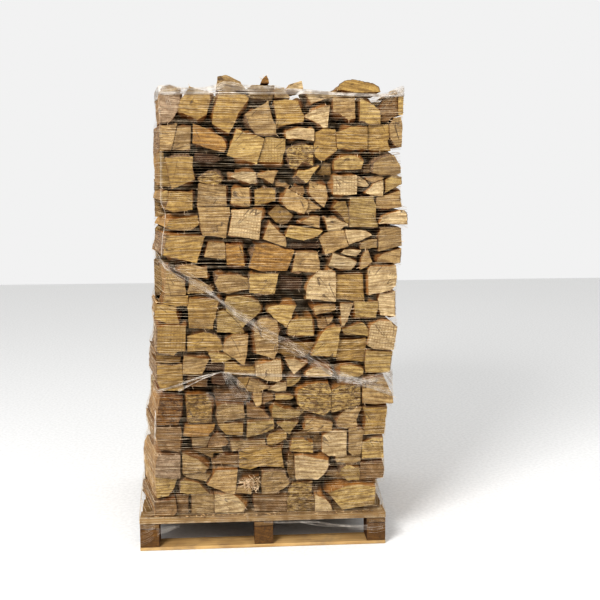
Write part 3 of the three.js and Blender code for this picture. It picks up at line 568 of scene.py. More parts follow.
def bark_look():
    look = Look("bark")
    place = look.place()
    furrowed = look.vector("MULTIPLY", place, (1.0, 0.16, 1.0))
    wander = look.node("TexNoise", {}, {"Vector": place, "Scale": 30.0}, "Color")
    bent = look.vector("MULTIPLY_ADD", wander, (0.012, 0.012, 0.012), furrowed)
    sockets = {"Vector": bent, "Scale": 60.0, "Randomness": 1.0}
    plates = look.node("TexVoronoi", {"feature": "DISTANCE_TO_EDGE"}, sockets, "Distance")
    crust = look.cloud(furrowed, 90.0, 5.0, 0.7)
    lichen = look.cloud(place, 16.0, 3.0)
    furrow = plates.between(0.0, 0.14)
    colour = look.mix(crust.between(0.3, 0.7), (0.19, 0.112, 0.058, 1), (0.36, 0.230, 0.125, 1))
    colour = look.mix(lichen.between(0.5, 0.75) * 0.35, colour, (0.31, 0.25, 0.17, 1))
    colour = look.mix((1.0 - furrow) * 0.42, colour, (0.075, 0.046, 0.028, 1))
    return look.finish(colour, 0.92, crust * 0.6 + furrow * 0.6, 0.005)


END_GRAIN = across_the_grain("sawn_end", 0.0042, 0.0016, 0.85)
SPLIT_SIDE = along_the_grain(
    "split_side", (1, 0.035, 1), (0.80, 0.72, 0.62, 1), (1.24, 1.17, 1.06, 1), 0.0035, 0.25
)
BARK = bark_look()


def solid_of(node):
    """Merged corners and triangles of a CAD node. The rear row is turned to face forwards."""
    mesh = frame["nodes"][node].data
    mesh.calc_loop_triangles()
    places = np.array([v.co for v in mesh.vertices], float)
    corners = np.array([t.vertices for t in mesh.loop_triangles])
    if node.startswith("rear"):
        places = places * TURN_ROUND
    _, first, merged = np.unique(places.round(5), axis=0, return_index=True, return_inverse=True)
    triangles = merged.reshape(-1)[corners]
    whole = [len(set(t)) == 3 for t in triangles.tolist()]
    return places[first], triangles[whole]


def logs_in(node):
    """The single logs of a CAD node, so that a log here is exactly where its solid is.

    A log's shown end is a flat outline, and a long edge leaves each of its corners for the inner end.
    """
    places, triangles = solid_of(node)
    a, b, c = (places[triangles[:, k]] for k in range(3))
    normals = np.cross(b - a, c - a)
    normals /= norm(normals, axis=1)[:, None] + 1e-12
    row = node.split("_")[0]
    inner_y = INNER_END[row] * (-1 if row == "rear" else 1)
    is_end = (normals[:, 1] < -0.9999) & (np.abs(a[:, 1] - inner_y) > 0.1)

    beside = {}
    for number, (i, j, k) in enumerate(triangles.tolist()):
        for edge in ((i, j), (j, k), (k, i)):
            beside[edge] = number
    ahead = {}
    for (i, j), number in beside.items():
        other = beside.get((j, i))
        if is_end[number] and (other is None or not is_end[other]):
            ahead[i] = j

    away = {}
    for (i, j), number in beside.items():
        other = beside.get((j, i), number)
        if is_end[number] or is_end[other]:
            continue
        bend = 1 - float(normals[number] @ normals[other])
        for near, far in ((i, j), (j, i)):
            if near in ahead:
                away.setdefault(near, []).append((bend, far))

    logs = []
    left = set(ahead)
    while left:
        start = min(left)
        loop = [start]
        while ahead[loop[-1]] != start:
            loop.append(ahead[loop[-1]])
        left -= set(loop)
        shown = places[loop]
        inner = []
        for corner, place in zip(loop, shown):
            _, far = max(away[corner])
            step = places[far] - place
            inner.append(place + step * (inner_y - place[1]) / step[1])
        logs.append(Log(shown[:, [0, 2]], np.array(inner)[:, [0, 2]], float(shown[0, 1]), inner_y))
    return logs


stacked = {name: logs_in(name) for name in sorted(frame["nodes"]) if "_logs_" in name}
edges_in_row = {}
for row in INNER_END:
    ends = [log.shown for node, logs in stacked.items() if node.startswith(row) for log in logs]
    afters = [np.roll(end, -1, 0) for end in ends]
    owners = [np.full(len(end), number) for number, end in enumerate(ends)]
    edges_in_row[row] = [np.concatenate(group) for group in (ends, afters, owners)]

PALE = paint(188, 165, 123)
TAN = paint(165, 138, 92)
STRAW = paint(168, 142, 88)
GOLD = paint(154, 126, 72)
ORANGE = paint(150, 115, 60)
BROWN = paint(130, 101, 62)
DARK = paint(90, 64, 40)
GREY = paint(148, 126, 99)
RUST = paint(128, 90, 38)
USUAL = [TAN, TAN, TAN, STRAW, STRAW, TAN, PALE, GOLD]
SHADED = [0.76, 0.70, 0.62]

# Logs of the front row that stand out, by where they are in X and Z. A later tone wins.
TONED = [
    (DARK, [(-0.205, 1.574), (0.120, 1.075), (0.174, 1.231), (-0.172, 0.690), (-0.191, 0.745)]),
    (BROWN, [
        (-0.119, 0.626), (-0.156, 0.356), (-0.390, 0.164), (-0.371, 0.453), (0.447, 0.297),
        (0.508, 1.764), (0.023, 0.613), (0.035, 0.179), (-0.176, 0.439), (-0.262, 0.679),
        (-0.326, 0.175), (-0.020, 0.558),
    ]),
    (RUST, [(-0.374, 0.564)]),
    (ORANGE, [(-0.102, 1.192), (-0.190, 1.644), (-0.248, 0.487), (0.021, 1.875), (0.042, 1.192)]),
    (GOLD, [
        (-0.245, 1.782), (0.256, 1.616), (0.476, 1.641), (-0.352, 0.853), (0.051, 0.447),
        (-0.306, 1.311), (-0.254, 0.574), (-0.116, 1.750), (-0.055, 0.265), (0.388, 1.848),
        (0.359, 1.646), (0.015, 1.431), (-0.093, 0.736), (-0.011, 0.372), (-0.218, 0.846),
        (-0.334, 1.012), (-0.327, 1.400), (-0.127, 0.492), (-0.374, 0.711), (-0.379, 0.958),
        (0.118, 1.754), (-0.308, 1.226), (0.362, 0.804), (0.363, 1.059), (0.444, 0.505),
        (-0.228, 0.964),
    ]),
    (GREY, [(-0.368, 0.360), (-0.354, 1.764)]),
    (STRAW, [
        (0.208, 0.609), (0.150, 1.560), (-0.196, 1.492), (-0.064, 1.627), (0.341, 0.620),
        (0.163, 0.200), (0.445, 0.398), (0.346, 1.555), (0.554, 1.776), (0.263, 0.844),
        (0.374, 0.206), (-0.392, 0.251), (0.432, 1.743), (0.010, 1.071), (0.047, 1.600),
    ]),
    (PALE, [
        (-0.062, 1.316), (0.486, 0.864), (0.233, 1.068), (0.405, 1.477), (0.198, 0.327),
        (0.027, 0.730), (0.153, 1.664), (0.250, 0.165), (0.386, 1.268), (0.538, 1.342),
        (0.458, 1.490), (0.332, 1.465), (0.488, 1.095), (0.290, 0.420), (-0.130, 0.181),
        (0.241, 1.813), (0.232, 1.735), (0.138, 1.849), (0.501, 0.999), (0.336, 0.946),
        (0.294, 1.313), (0.088, 1.825), (0.462, 1.448), (0.231, 0.716),
    ]),
]
SAW_MARKED = [
    (0.047, 1.600), (-0.062, 1.316), (0.486, 0.864), (0.027, 0.730), (0.332, 1.465), (-0.348, 0.845),
    (-0.374, 0.564),
]
ROUGH_ENDED = [
    (-0.374, 0.564), (0.208, 0.609), (0.339, 0.609), (-0.055, 0.265), (0.150, 1.560), (-0.196, 1.492),
    (0.174, 1.231), (-0.254, 0.574), (0.153, 0.198),
]
STILL_ROUND = [(-0.196, 1.492), (0.388, 1.848)]
# A place means the log whose middle is this close. An end behind this Y is set back and in the shade.
SAME_LOG = 0.03
SET_BACK = -0.452

# How finely a log is made: the space between the points round it, and the distances of its rings of
# points from the shown end, of which the last is past any log's length.
SHOWN = (0.0075, (0, 0.004, 0.014, 0.035, 0.075, 0.13, 0.20, 0.27, 9))
BURIED = (0.010, (0, 0.004, 0.05, 0.12, 0.19, 0.25, 9))
FACE_POINTS_EVERY = 0.015
CORNER_WEAR = 0.0010
# How much of the room beside it a log takes up, and how ridged it is, at distances from its end.
SWELL = ((0, 0.004, 0.014, 0.035, 0.075, 0.13, 0.20), (0, 0, 0.06, 0.45, 0.95, 0.8, 0))
RIDGED = ((0, 0.008, 0.05), (0, 0.25, 1))
HOLLOW = 0.016
# The slope of an end, how far behind it that is lost again, and by how much inner ends vary.
TILT = 0.055
TILT_RUN = 0.06
INNER_SPREAD = 0.007
# A side leans out into a gap that is narrower than this, but no further than so much. The ends of two
# logs nearer than the third number are a close pair, and each of them reaches out by the fourth.
GAP_REACH = 0.09
MOST_LEAN = 0.022
PAIR_GAP = 0.013
PAIR_REACH = 0.006

# What is left to chance in a log: whether its bark faces out of the stack, how far off its heart is,
# whether it has bark, the lean of its end, which goes with how saw-marked, rough and splintered it
# is, the number that its marks go by, its tone and length, and how dim it is.
Chance = namedtuple("Chance", "edge deep bark lean_x lean_z mark pick dim")
chances = np.random.default_rng(20261)


def soft_noise(x, y, z):
    """Noise between -1 and 1 that is near the same at places near each other."""
    return noise.noise(Vector((x, y, z)))


def stands_at(middle, places):
    return any(np.hypot(middle[0] - x, middle[1] - z) < SAME_LOG for x, z in places)


def traits_of(row, log, chance):
    """The tone of a log, and how saw-marked, rough and round it is."""
    middle = log.shown.mean(0)
    traits = {
        "tone": USUAL[int(chance.pick * len(USUAL))] * (0.72 + 0.32 * chance.dim),
        "saw": 0.15 + 0.35 * chance.lean_x,
        "rough": 0.3 * chance.lean_z ** 2,
        "round": row == "front" and stands_at(middle, STILL_ROUND),
    }
    if row == "front":
        for tone, places in TONED:
            if stands_at(middle, places):
                traits["tone"] = tone
        if stands_at(middle, SAW_MARKED):
            traits["saw"] = 1.0
        if stands_at(middle, ROUGH_ENDED):
            traits["rough"] = 0.9
        if log.shown_y > SET_BACK:
            traits["tone"] = traits["tone"] * SHADED
    return traits


def outer_side(middle):
    """1 for a log at the right edge of the leaning stack, -1 at the left edge and otherwise 0."""
    x, z = middle
    return int(x > 0.435 + 0.02 * z) - int(x < -0.36 + 0.01 * z)


def heart_of(outline, outward, chance):
    """Where the heart of the tree was: past the sharpest corner, or inwards of a log at an edge."""
    before = np.roll(outline, 1, 0) - outline
    after = np.roll(outline, -1, 0) - outline
    before /= norm(before, axis=1)[:, None]
    after /= norm(after, axis=1)[:, None]
    middle = outline.mean(0)
    toward = outline[int(np.argmax((before * after).sum(1)))] - middle
    if outward:
        toward = np.array([-outward, 0.15])
    toward = toward / (norm(toward) + 1e-9)
    size = norm(outline - middle, axis=1).max()
    return middle + toward * size * (0.9 + 0.8 * chance.deep)


def stations_round(log, spacing):
    """Points round both ends of a log, the way outwards at each, and how far round the log it is."""
    count = len(log.shown)
    stations = []
    for corner, length in enumerate(norm(np.roll(log.shown, -1, 0) - log.shown, axis=1)):
        worn = min(CORNER_WEAR / length, 0.22)
        pieces = max(1, round(length * (1 - 2 * worn) / spacing))
        stations += [(corner, worn + (1 - 2 * worn) * i / pieces) for i in range(pieces + 1)]
    index = np.array([corner for corner, _ in stations])
    share = np.array([part for _, part in stations])[:, None]
    near, far = (
        end[index] * (1 - share) + end[(index + 1) % count] * share for end in (log.shown, log.inner)
    )
    round_it = np.roll(near, -1, 0) - np.roll(near, 1, 0)
    outward = np.stack([round_it[:, 1], -round_it[:, 0]], 1)
    outward /= norm(outward, axis=1)[:, None] + 1e-9
    travelled = np.concatenate([[0], np.cumsum(norm(np.diff(near, axis=0), axis=1))])
    return near, far, outward, travelled


def room_beside(near, outward, row, number):
    """How far a log's sides may lean out behind the end and at it, and where they face open air.

    Each log takes its share of the gap that it faces, and the two logs of a close pair meet.
    """
    others = edges_in_row[row][2] != number
    start, end, owner = (group[others] for group in edges_in_row[row])
    along = end - start
    to = near[:, None, :] - start[None]
    share = np.clip((to * along[None]).sum(2) / (along ** 2).sum(1)[None], 0, 1)
    gaps = norm(to - share[..., None] * along[None], axis=2)
    owner = owner[gaps.argmin(1)]
    gaps = gaps.min(1)
    turn = outward[:, None, 0] * along[None, :, 1] - outward[:, None, 1] * along[None, :, 0]
    turn = np.where(np.abs(turn) < 1e-9, 1e-9, turn)
    ahead = (along[None, :, 0] * to[..., 1] - along[None, :, 1] * to[..., 0]) / turn
    crossing = (outward[:, None, 0] * to[..., 1] - outward[:, None, 1] * to[..., 0]) / turn
    faced = ((ahead > 0) & (ahead < GAP_REACH) & (crossing >= 0) & (crossing <= 1)).any(1)
    halfway = near + outward * gaps[:, None] / 2
    part = np.array([soft_noise(x * 14, z * 14, 4.4) * 1.6 + 0.5 for x, z in halfway])
    part = np.clip(part, 0.04, 0.96)
    part = np.where(owner > number, part, 1 - part)
    room = np.where(faced, np.clip(gaps * 0.9 * part - 0.0008, 0, MOST_LEAN), 0)
    pairs = [soft_noise(min(number, o) * 7.3, max(number, o) * 3.7, 9.1) for o in owner]
    close = faced & (gaps < PAIR_GAP) & (np.array(pairs) > -0.12)
    at_end = np.where(close, np.clip(gaps / 2 - 0.0005, 0, PAIR_REACH), 0)
    room = np.maximum(room, at_end)
    bare = (~faced).astype(float)
    return [(r * 2 + np.roll(r, 1) + np.roll(r, -1)) / 4 for r in (room, at_end, bare)]


def rolling(travelled, scale, *rest):
    """Soft noise at each distance round a log."""
    return np.array([soft_noise(s * scale, *rest) for s in travelled])


def barked_points(near, outward, heart, side, traits, chance):
    """Which points round a log are bark: those far from the heart that face away from it."""
    if traits["round"]:
        return outward[:, 1] > -0.3
    spokes = near - heart
    reach = norm(spokes, axis=1)
    facing = (outward * spokes).sum(1) / (reach + 1e-9)
    has_bark = chance.bark <= (0.9 if side else 0.3)
    return has_bark & (facing > 0.72) & (reach > 0.72 * reach.max())


def build_log(parts, log, row, number, seed, traits, chance):
    """Adds one log to the lists in parts: its sides, its sawn face and its inner end."""
    spacing, steps = BURIED if row == "middle" else SHOWN
    near, far, outward, travelled = stations_round(log, spacing)
    room, at_end, bare = room_beside(near, outward, row, number)
    total = len(near)
    middle = near.mean(0)
    side = outer_side(middle) if chance.edge < 0.2 else 0
    heart = heart_of(log.shown, side, chance)
    barked = barked_points(near, outward, heart, side, traits, chance)
    ridges = rolling(travelled, 14, seed * 5.1, 0.3) * 0.016
    ridges = ridges + rolling(travelled, 40, seed * 4.3, 2.3) * 0.007
    ridges = ridges + rolling(travelled, 95, seed * 3.3, 5.3) * 0.003 - 0.004
    freedom = bare * np.where(outward[:, 1] > 0.6, 1.5, 0.45) + (1 - bare) * 0.12
    ridges = np.minimum(np.where(barked, ridges * 0.3, ridges) * freedom, 0.002)

    # a side in open air is newly split and pale, and paler still where it faces left or right, which is
    # painted light; a side in a gap is warm with the light of others, which is painted bounce light
    tone = traits["tone"]
    pale_and_painted_light = 1.14 + 0.36 * np.abs(outward[:, :1]) * [1.0, 0.95, 0.85]
    open_tone = bare[:, None] * pale_and_painted_light * (0.4 * tone + 0.6 * TAN)
    shut_tone = (1 - bare[:, None]) * tone * [1.20, 0.92, 0.60]
    side_tint = np.column_stack([open_tone + shut_tone, np.ones(total)])

    first = len(parts["places"])
    tilt = np.array([chance.lean_x - 0.5, chance.lean_z - 0.5]) * TILT
    inner_y = log.inner_y + math.copysign(INNER_SPREAD * chance.pick, log.inner_y - log.shown_y)
    length = inner_y - log.shown_y
    for step in steps:
        along = min(step, length) / length
        rough = rolling(travelled, 105, step * 5 + seed, seed * 1.7) * 0.0016
        rough = rough + rolling(travelled, 330, step * 9, seed * 3.1) * 0.0007
        bark = 0.0018 + rolling(travelled, 150, step * 40, seed * 2.3) * 0.0022
        hollows = bare * np.maximum(rolling(travelled, 9, step * 7, seed * 8.3) + 0.1, 0) * HOLLOW
        swell = float(np.interp(step, *SWELL))
        ridged = (ridges - hollows) * float(np.interp(step, *RIDGED))
        shift = np.where(barked, bark, rough) + ridged + at_end + (room - at_end) * swell
        if step == 0:
            shift = shift - 0.0007
        ring = near * (1 - along) + far * along + outward * shift[:, None]
        lean = ((near - middle) @ tilt) * max(0.0, 1 - step / TILT_RUN)
        y = log.shown_y + min(step, length) + lean
        parts["places"] += np.stack([ring[:, 0], y, ring[:, 1]], 1).tolist()
    parts["bark"] += barked.astype(float).tolist() * len(steps)
    parts["rim"] += [1.0] * (total * len(steps))
    parts["tint"] += [[*tone, 1.0]] * total + side_tint.tolist() * (len(steps) - 1)
    for i, (a, b, c, d) in enumerate(walls(first, len(steps), total)):
        parts["faces"].append((a, d, c, b))
        parts["surface"].append(2 if barked[i % total] and barked[(i + 1) % total] else 1)

    # the sawn face, with a few points inside it that stand a little proud or low
    low, high = near.min(0), near.max(0)
    inside = []
    for line, z in enumerate(np.arange(low[1] + FACE_POINTS_EVERY / 2, high[1], FACE_POINTS_EVERY)):
        start = low[0] + FACE_POINTS_EVERY * (0.25 + 0.5 * (line % 2))
        for x in np.arange(start, high[0], FACE_POINTS_EVERY):
            if norm(near - [x, z], axis=1).min() > 0.006:
                inside.append(Vector((x, z)))
    edges = [(i, (i + 1) % total) for i in range(total)]
    loop = [Vector(point) for point in near]
    points, _, caps, origins, _, _ = delaunay_2d_cdt(loop + inside, edges, [], 1, 1e-7)
    numbers = {}
    for i, (point, origin) in enumerate(zip(points, origins)):
        if origin and origin[0] < total:
            numbers[i] = first + origin[0]
            continue
        numbers[i] = len(parts["places"])
        x, z = np.array(point)
        relief = soft_noise(x * 60, z * 60, seed) * (0.0008 + 0.003 * traits["rough"])
        y = log.shown_y + float((np.array(point) - middle) @ tilt) + relief
        parts["places"].append([x, y, z])
        same_for_all(parts, numbers[i], bark=0.0, rim=0.0, tint=[*tone, 1.0])
    for cap in caps:
        parts["faces"].append(tuple(numbers[i] for i in cap))
        parts["surface"].append(0)

    # the inner end, flat, with its faces turned to the back
    last = first + (len(steps) - 1) * total
    for cap in tessellate_polygon([[Vector((x, z, 0)) for x, z in far]]):
        a, b, c = (far[i] for i in cap)
        area = (b[0] - a[0]) * (c[1] - a[1]) - (b[1] - a[1]) * (c[0] - a[0])
        parts["faces"].append(tuple(last + i for i in (cap if area < 0 else cap[::-1])))
        parts["surface"].append(0)
    marks = [traits["saw"], traits["rough"], chance.mark]
    same_for_all(parts, first, heart=[heart[0], 0.0, heart[1]], marks=marks)


built = 0
built_in_row = dict.fromkeys(INNER_END, 0)
splintered = []
for node, logs in stacked.items():
    row = node.split("_")[0]
    parts = empty_parts()
    for log in logs:
        built += 1
        chance = Chance(*chances.random(8))
        traits = traits_of(row, log, chance)
        build_log(parts, log, row, built_in_row[row], float(built), traits, chance)
        built_in_row[row] += 1
        if row != "middle":
            splintered.append((log, row, chance.lean_z))
    if row == "rear":
        for key in ("places", "heart"):
            parts[key] = (np.array(parts[key]) * TURN_ROUND).tolist()
    split_logs = piece_from("split_" + node, parts, [END_GRAIN, SPLIT_SIDE, BARK])
    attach(split_logs, "root")
    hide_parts(node)


# The splinters: thin and pale, they stand on the ends of the logs where these were torn from each
# other. Most are on one log near the bottom of the front, which was shattered.
SHATTERED = [(-0.055, 0.265)]
ON_SHATTERED = 110
ON_OTHERS = 6
SLIVER_PROFILE = [(0.0008, -0.003), (0.0011, 0.003), (0.0009, 0.010), (0.0003, 0.017)]


def splinters_of(log, row, share):
    """Places, directions and sizes of the splinters that stand on the shown end of a log."""
    shattered = row == "front" and stands_at(log.shown.mean(0), SHATTERED)
    turned_round = TURN_ROUND if row == "rear" else 1
    found = []
    for _ in range(ON_SHATTERED if shattered else int(ON_OTHERS * share)):
        corner = int(splinter_chances.integers(len(log.shown)))
        before, after = log.shown[corner], log.shown[(corner + 1) % len(log.shown)]
        spot = before + (after - before) * splinter_chances.random()
        along = (after - before) / norm(after - before)
        out = np.array([along[1], -along[0]]) + along * (splinter_chances.random() - 0.5) * 1.5
        size = 0.3 + 0.7 * splinter_chances.random() ** 2
        if shattered:
            spot = spot + (log.shown.mean(0) - spot) * splinter_chances.random()
            out = splinter_chances.random(2) * 2 - [1.5, 1.0]
            size = 0.6 + 1.5 * splinter_chances.random()
        place = np.array([spot[0], log.shown_y, spot[1]])
        lean = np.array([out[0], -0.2 - 0.5 * splinter_chances.random(), out[1]])
        found.append((place * turned_round, lean * turned_round, size))
    return found


splinter_chances = np.random.default_rng(4)
splinters = [splinter for log in splintered for splinter in splinters_of(*log)]
splinter_look = Look("splinters")
fibres = splinter_look.cloud(splinter_look.place(), 90.0, 2.0)
torn_tone = splinter_look.mix(fibres.between(0.4, 0.6), (0.42, 0.29, 0.16, 1), (0.78, 0.62, 0.44, 1))
SPLINTERED = splinter_look.finish(torn_tone, 0.75, fibres, 0.0002)
sliver = turned_form("sliver", SLIVER_PROFILE, 4)
grower = Grower("splinters")
lean = grower.stored("lean", "FLOAT_VECTOR")
turn = grower.node("FunctionNodeAlignRotationToVector", {"axis": "Z"}, {"Vector": lean})
stood = grower.set_out(sliver, Rotation=turn, Scale=grower.stored("size", "FLOAT"))
places, leans, sizes = zip(*splinters)
torn = grower.run("splinters", points_mesh("splinters", places, lean=leans, size=sizes), stood, SPLINTERED)
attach(torn, "root")


# The net: knitted white plastic threads, stretched and wound round the stack in three passes from the
# edge of the deck to above the last course. Each thread lies on the outermost logs at its height and
# runs straight between them.
LEVEL_STEP = 0.005
LEVELS = np.arange(0.02, 1.86, LEVEL_STEP)
DECK_EDGE = 0.112
TOP_EDGE = 1.846
SHOULDER = 1.80
UPPER_HALF = 0.95
SHORTEST_STEP = 0.006
LONGEST_STEP = 0.045
# The front is where Y is below this, and its corners are at these X.
FRONT = -0.3
FRONT_CORNERS = (-0.42, 0.54)
# The pitch, the lowest height and the slope of each pass. Outside these heights turns lie closer.
PASSES = [(0.0096, 0.113, 0.0), (0.0250, 0.118, 0.009), (0.0330, 0.115, -0.011)]
OPEN_BETWEEN = (0.56, 1.76)
# A turn wanders least near the first two heights, and from the third one up it follows the top line.
HELD_AT = (0.108, 1.87)
TOP_FROM = 1.79
# The least radius of a thin and of a thick thread, with how much it may be more.
THIN = (0.00019, 0.00016)
THICK = (0.00042, 0.00020)
THICK_SHARE = 0.22

# directions round the stack, which lie closest together at the middle of each of its four sides
quarter = np.linspace(-1, 1, 60, endpoint=False)
quarter = 45 * np.sign(quarter) * np.abs(quarter) ** 2
ANGLES = np.radians(np.concatenate([quarter - 90, quarter, quarter + 90, quarter + 180]))


def reach_of_the_stack():
    """How far the stack reaches at each level in each direction, spread softly up and down."""
    places = []
    for piece in scene.objects:
        if piece.name.startswith(("split_", "sawn_")):
            places.append(np.array([v.co for v in piece.data.vertices], float))
    places = np.concatenate(places)
    level = np.round((places[:, 2] - LEVELS[0]) / LEVEL_STEP).astype(int)
    known = (level >= 0) & (level < len(LEVELS))
    places = places[known]
    level = level[known]
    order = np.argsort(level, kind="stable")
    places = places[order]
    starts = np.searchsorted(level[order], np.arange(len(LEVELS)))
    table = np.empty((len(LEVELS), len(ANGLES)))
    for column, angle in enumerate(ANGLES):
        along = places[:, 0] * math.cos(angle) + places[:, 1] * math.sin(angle)
        table[:, column] = np.maximum.reduceat(along, np.minimum(starts, len(along) - 1))
    widest = table.copy()
    for shift in (1, 2, 3):
        widest[shift:] = np.maximum(widest[shift:], table[:-shift])
        widest[:-shift] = np.maximum(widest[:-shift], table[shift:])
    padded = np.concatenate([widest[:1]] * 3 + [widest] + [widest[-1:]] * 3)
    weights = (0.06, 0.12, 0.2, 0.24, 0.2, 0.12, 0.06)
    return sum(weight * padded[i:i + len(LEVELS)] for i, weight in enumerate(weights))


REACH = reach_of_the_stack()


def hoop(z, clear):
    """The way round the stack at height z, as X and Y points about 6 to 45 mm apart."""
    row = (min(z, SHOULDER) - LEVELS[0]) / LEVEL_STEP
    under = int(np.clip(math.floor(row), 0, len(LEVELS) - 2))
    share = float(np.clip(row - under, 0, 1))
    out = REACH[under] * (1 - share) + REACH[under + 1] * share + clear
    after = np.roll(out, -1)
    first = np.stack([np.cos(ANGLES), np.sin(ANGLES)], 1)
    second = np.roll(first, -1, 0)
    cross = first[:, 0] * second[:, 1] - first[:, 1] * second[:, 0]
    x = (out * second[:, 1] - after * first[:, 1]) / cross
    y = (after * first[:, 0] - out * second[:, 0]) / cross
    points = [np.array([x[0], y[0]])]
    for point in zip(x[1:], y[1:]):
        step = np.array(point) - points[-1]
        length = float(norm(step))
        if length > SHORTEST_STEP:
            count = math.ceil(length / LONGEST_STEP)
            points += [points[-1] + step * (i + 1) / count for i in range(count)]
    if norm(points[-1] - points[0]) < SHORTEST_STEP:
        points.pop()
    return np.array(points)


def strands_mesh(name, strands):
    """A mesh of lines. Each strand is (points, girth, closed), and its girth is its radius."""
    points = []
    edges = []
    girths = []
    for line, girth, closed in strands:
        first = len(points)
        points += [tuple(p) for p in line]
        girths += [girth] * len(line)
        edges += [(first + i, first + i + 1) for i in range(len(line) - 1)]
        if closed:
            edges.append((len(points) - 1, first))
    return points_mesh(name, points, edges, girth=girths)


def spin(name, strands, sides, look):
    """Threads along the given lines, as closed tubes."""
    grower = Grower(name)
    shape = grower.setting("Sides", "Int", sides)
    lines = grower.node("GeometryNodeMeshToCurve", {}, {"Mesh": grower.mesh})
    ring = grower.node("GeometryNodeCurvePrimitiveCircle", {}, {"Resolution": shape, "Radius": 1.0})
    girth = grower.stored("girth", "FLOAT")
    sockets = {"Curve": lines, "Profile Curve": ring, "Scale": girth, "Fill Caps": True}
    tube = grower.node("GeometryNodeCurveToMesh", {}, sockets)
    made = grower.run(name, strands_mesh(name, strands), tube, look)
    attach(made, "root")
    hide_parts("net_wrap")


def thread_look(name, dim, bright):
    look = Look(name)
    drawn = look.cloud(look.place(), 35.0, 2.0)
    colour = look.mix(drawn.between(0.35, 0.65), dim, bright)
    return look.finish(colour, drawn.between(0.3, 0.7, 0.38, 0.6), drawn, 0.0002)


# The single threads are the same white plastic; their warm tan colour is painted light, the warm light of
# the wood that shines through them.
SINGLE_THREAD = thread_look("single_thread", (0.34, 0.245, 0.15, 1), (0.84, 0.71, 0.53, 1))

# Lines on the front, in X and Z with half the width: a rope of gathered net that falls across it from
# the left edge through a knot, and below it a fold that is pulled up to a peak, with a second one
# beside it. The last line is the top edge of the net.
ROPE = np.array([
    (-0.60, 1.176, 0.050), (-0.47, 1.178, 0.022), (-0.404, 1.171, 0.012), (-0.320, 1.128, 0.026),
    (-0.223, 1.066, 0.022), (-0.1725, 1.022, 0.006), (-0.102, 0.965, 0.016), (0.000, 0.895, 0.024),
    (0.111, 0.833, 0.030), (0.212, 0.766, 0.030), (0.300, 0.711, 0.022), (0.402, 0.676, 0.014),
    (0.496, 0.672, 0.030), (0.560, 0.680, 0.055), (0.72, 0.690, 0.080),
])
PEAK = (-0.1648, 0.7267)
# To the right of this X the fold draws the turns in less and less.
PAST_PEAK = -0.165
FOLD = np.array([
    (-0.55, 0.640, 0.020), (-0.43, 0.648, 0.008), (-0.360, 0.6676, 0.006), (-0.3122, 0.6829, 0.006),
    (-0.2485, 0.706, 0.005), (*PEAK, 0.002), (-0.06, 0.7165, 0.004), (0.12, 0.707, 0.008),
    (0.30, 0.700, 0.012),
])
SECOND_FOLD = np.array([
    (-0.3366, 0.6529, 0.006), (-0.2887, 0.6743, 0.005), (-0.2327, 0.7016, 0.004), (*PEAK, 0.002),
])
TOP_LINE = np.array([
    (-0.60, 1.842), (-0.37, 1.850), (-0.358, 1.861), (-0.335, 1.848), (-0.30, 1.842), (-0.20, 1.842),
    (-0.17, 1.853), (-0.14, 1.866), (-0.08, 1.861), (-0.057, 1.851), (0.008, 1.848), (0.06, 1.851),
    (0.097, 1.841), (0.155, 1.838), (0.27, 1.826), (0.427, 1.821), (0.486, 1.816), (0.552, 1.848),
])


def height_on(line, x):
    return float(np.interp(x, line[:, 0], line[:, 1]))


def drawn_in(x, z):
    """The height of a turn at X on the front, drawn towards the rope and the fold where it nears them."""
    if not FRONT_CORNERS[0] < x < FRONT_CORNERS[1]:
        return z
    for path, span, pull in ((ROPE, 0.045, 0.5), (FOLD, 0.028, 0.6)):
        off = z - height_on(path, x)
        weight = pull * math.exp(-(off / span) ** 2)
        if path is FOLD and x > PAST_PEAK:
            weight *= max(0.0, 1 - (x - PAST_PEAK) / 0.1)
        z -= off * weight
    return z


def turn_of_net(z, layer, slope):
    """One turn of a pass: it wanders, least near the deck and the top, and keeps to the top line."""
    line = []
    loose = min(1.0, (z - HELD_AT[0]) / 0.09) * min(1.0, (HELD_AT[1] - z) / 0.08)
    for x, y in hoop(z, 0.0012 + 0.0005 * layer):
        wander = soft_noise(x * 1.8 + layer * 9, y * 1.8, z * 5.0) * 0.011
        wander += soft_noise(x * 5 + layer * 4, y * 5, z * 40) * 0.0025
        height = z + (wander + slope * (1 if y < 0 else -1) * x / 0.5) * loose
        if y < FRONT:
            height = drawn_in(x, height)
            if z > TOP_FROM:
                height += (height_on(TOP_LINE, x) - TOP_EDGE) * (z - TOP_FROM) / (TOP_EDGE - TOP_FROM)
        line.append((x, y, max(height, DECK_EDGE)))
    return line


net_chances = np.random.default_rng(77)
halves = {"lower": [], "upper": []}
for layer, (pitch, z, slope) in enumerate(PASSES):
    while z < TOP_EDGE:
        line = turn_of_net(z, layer, slope)
        least, more = THIN
        girth = least + more * net_chances.random()
        if net_chances.random() < THICK_SHARE:
            least, more = THICK
            girth = least + more * net_chances.random()
        halves["lower" if z < UPPER_HALF else "upper"].append((line, girth, True))
        close = not OPEN_BETWEEN[0] <= z <= OPEN_BETWEEN[1]
        z += pitch * (0.72 if close else 1.0) * (0.6 + 0.8 * net_chances.random())
for name, strands in halves.items():
    spin("net_" + name, strands, 3, SINGLE_THREAD)


# Where the net was gathered: the rope and the folds, a veil under the peak, bunches on both front
# corners and the drawn top edge. Many threads lie together there, so they are thicker and whiter.
GATHERED_THREAD = thread_look("gathered_thread", (0.37, 0.325, 0.28, 1), (0.69, 0.64, 0.58, 1))
VEIL_STRANDS = 24
BAND_STRANDS = 20
FOLD_STRANDS = 6
# The lower side of the drawn top edge, in X and Z, and the edge and lower side away from the front.
BAND_FOLD = np.array([(-0.6, 1.819), (0.2, 1.8195), (0.3, 1.8155), (0.486, 1.8095), (0.56, 1.813)])
BAND_ELSEWHERE = (1.842, 1.806)
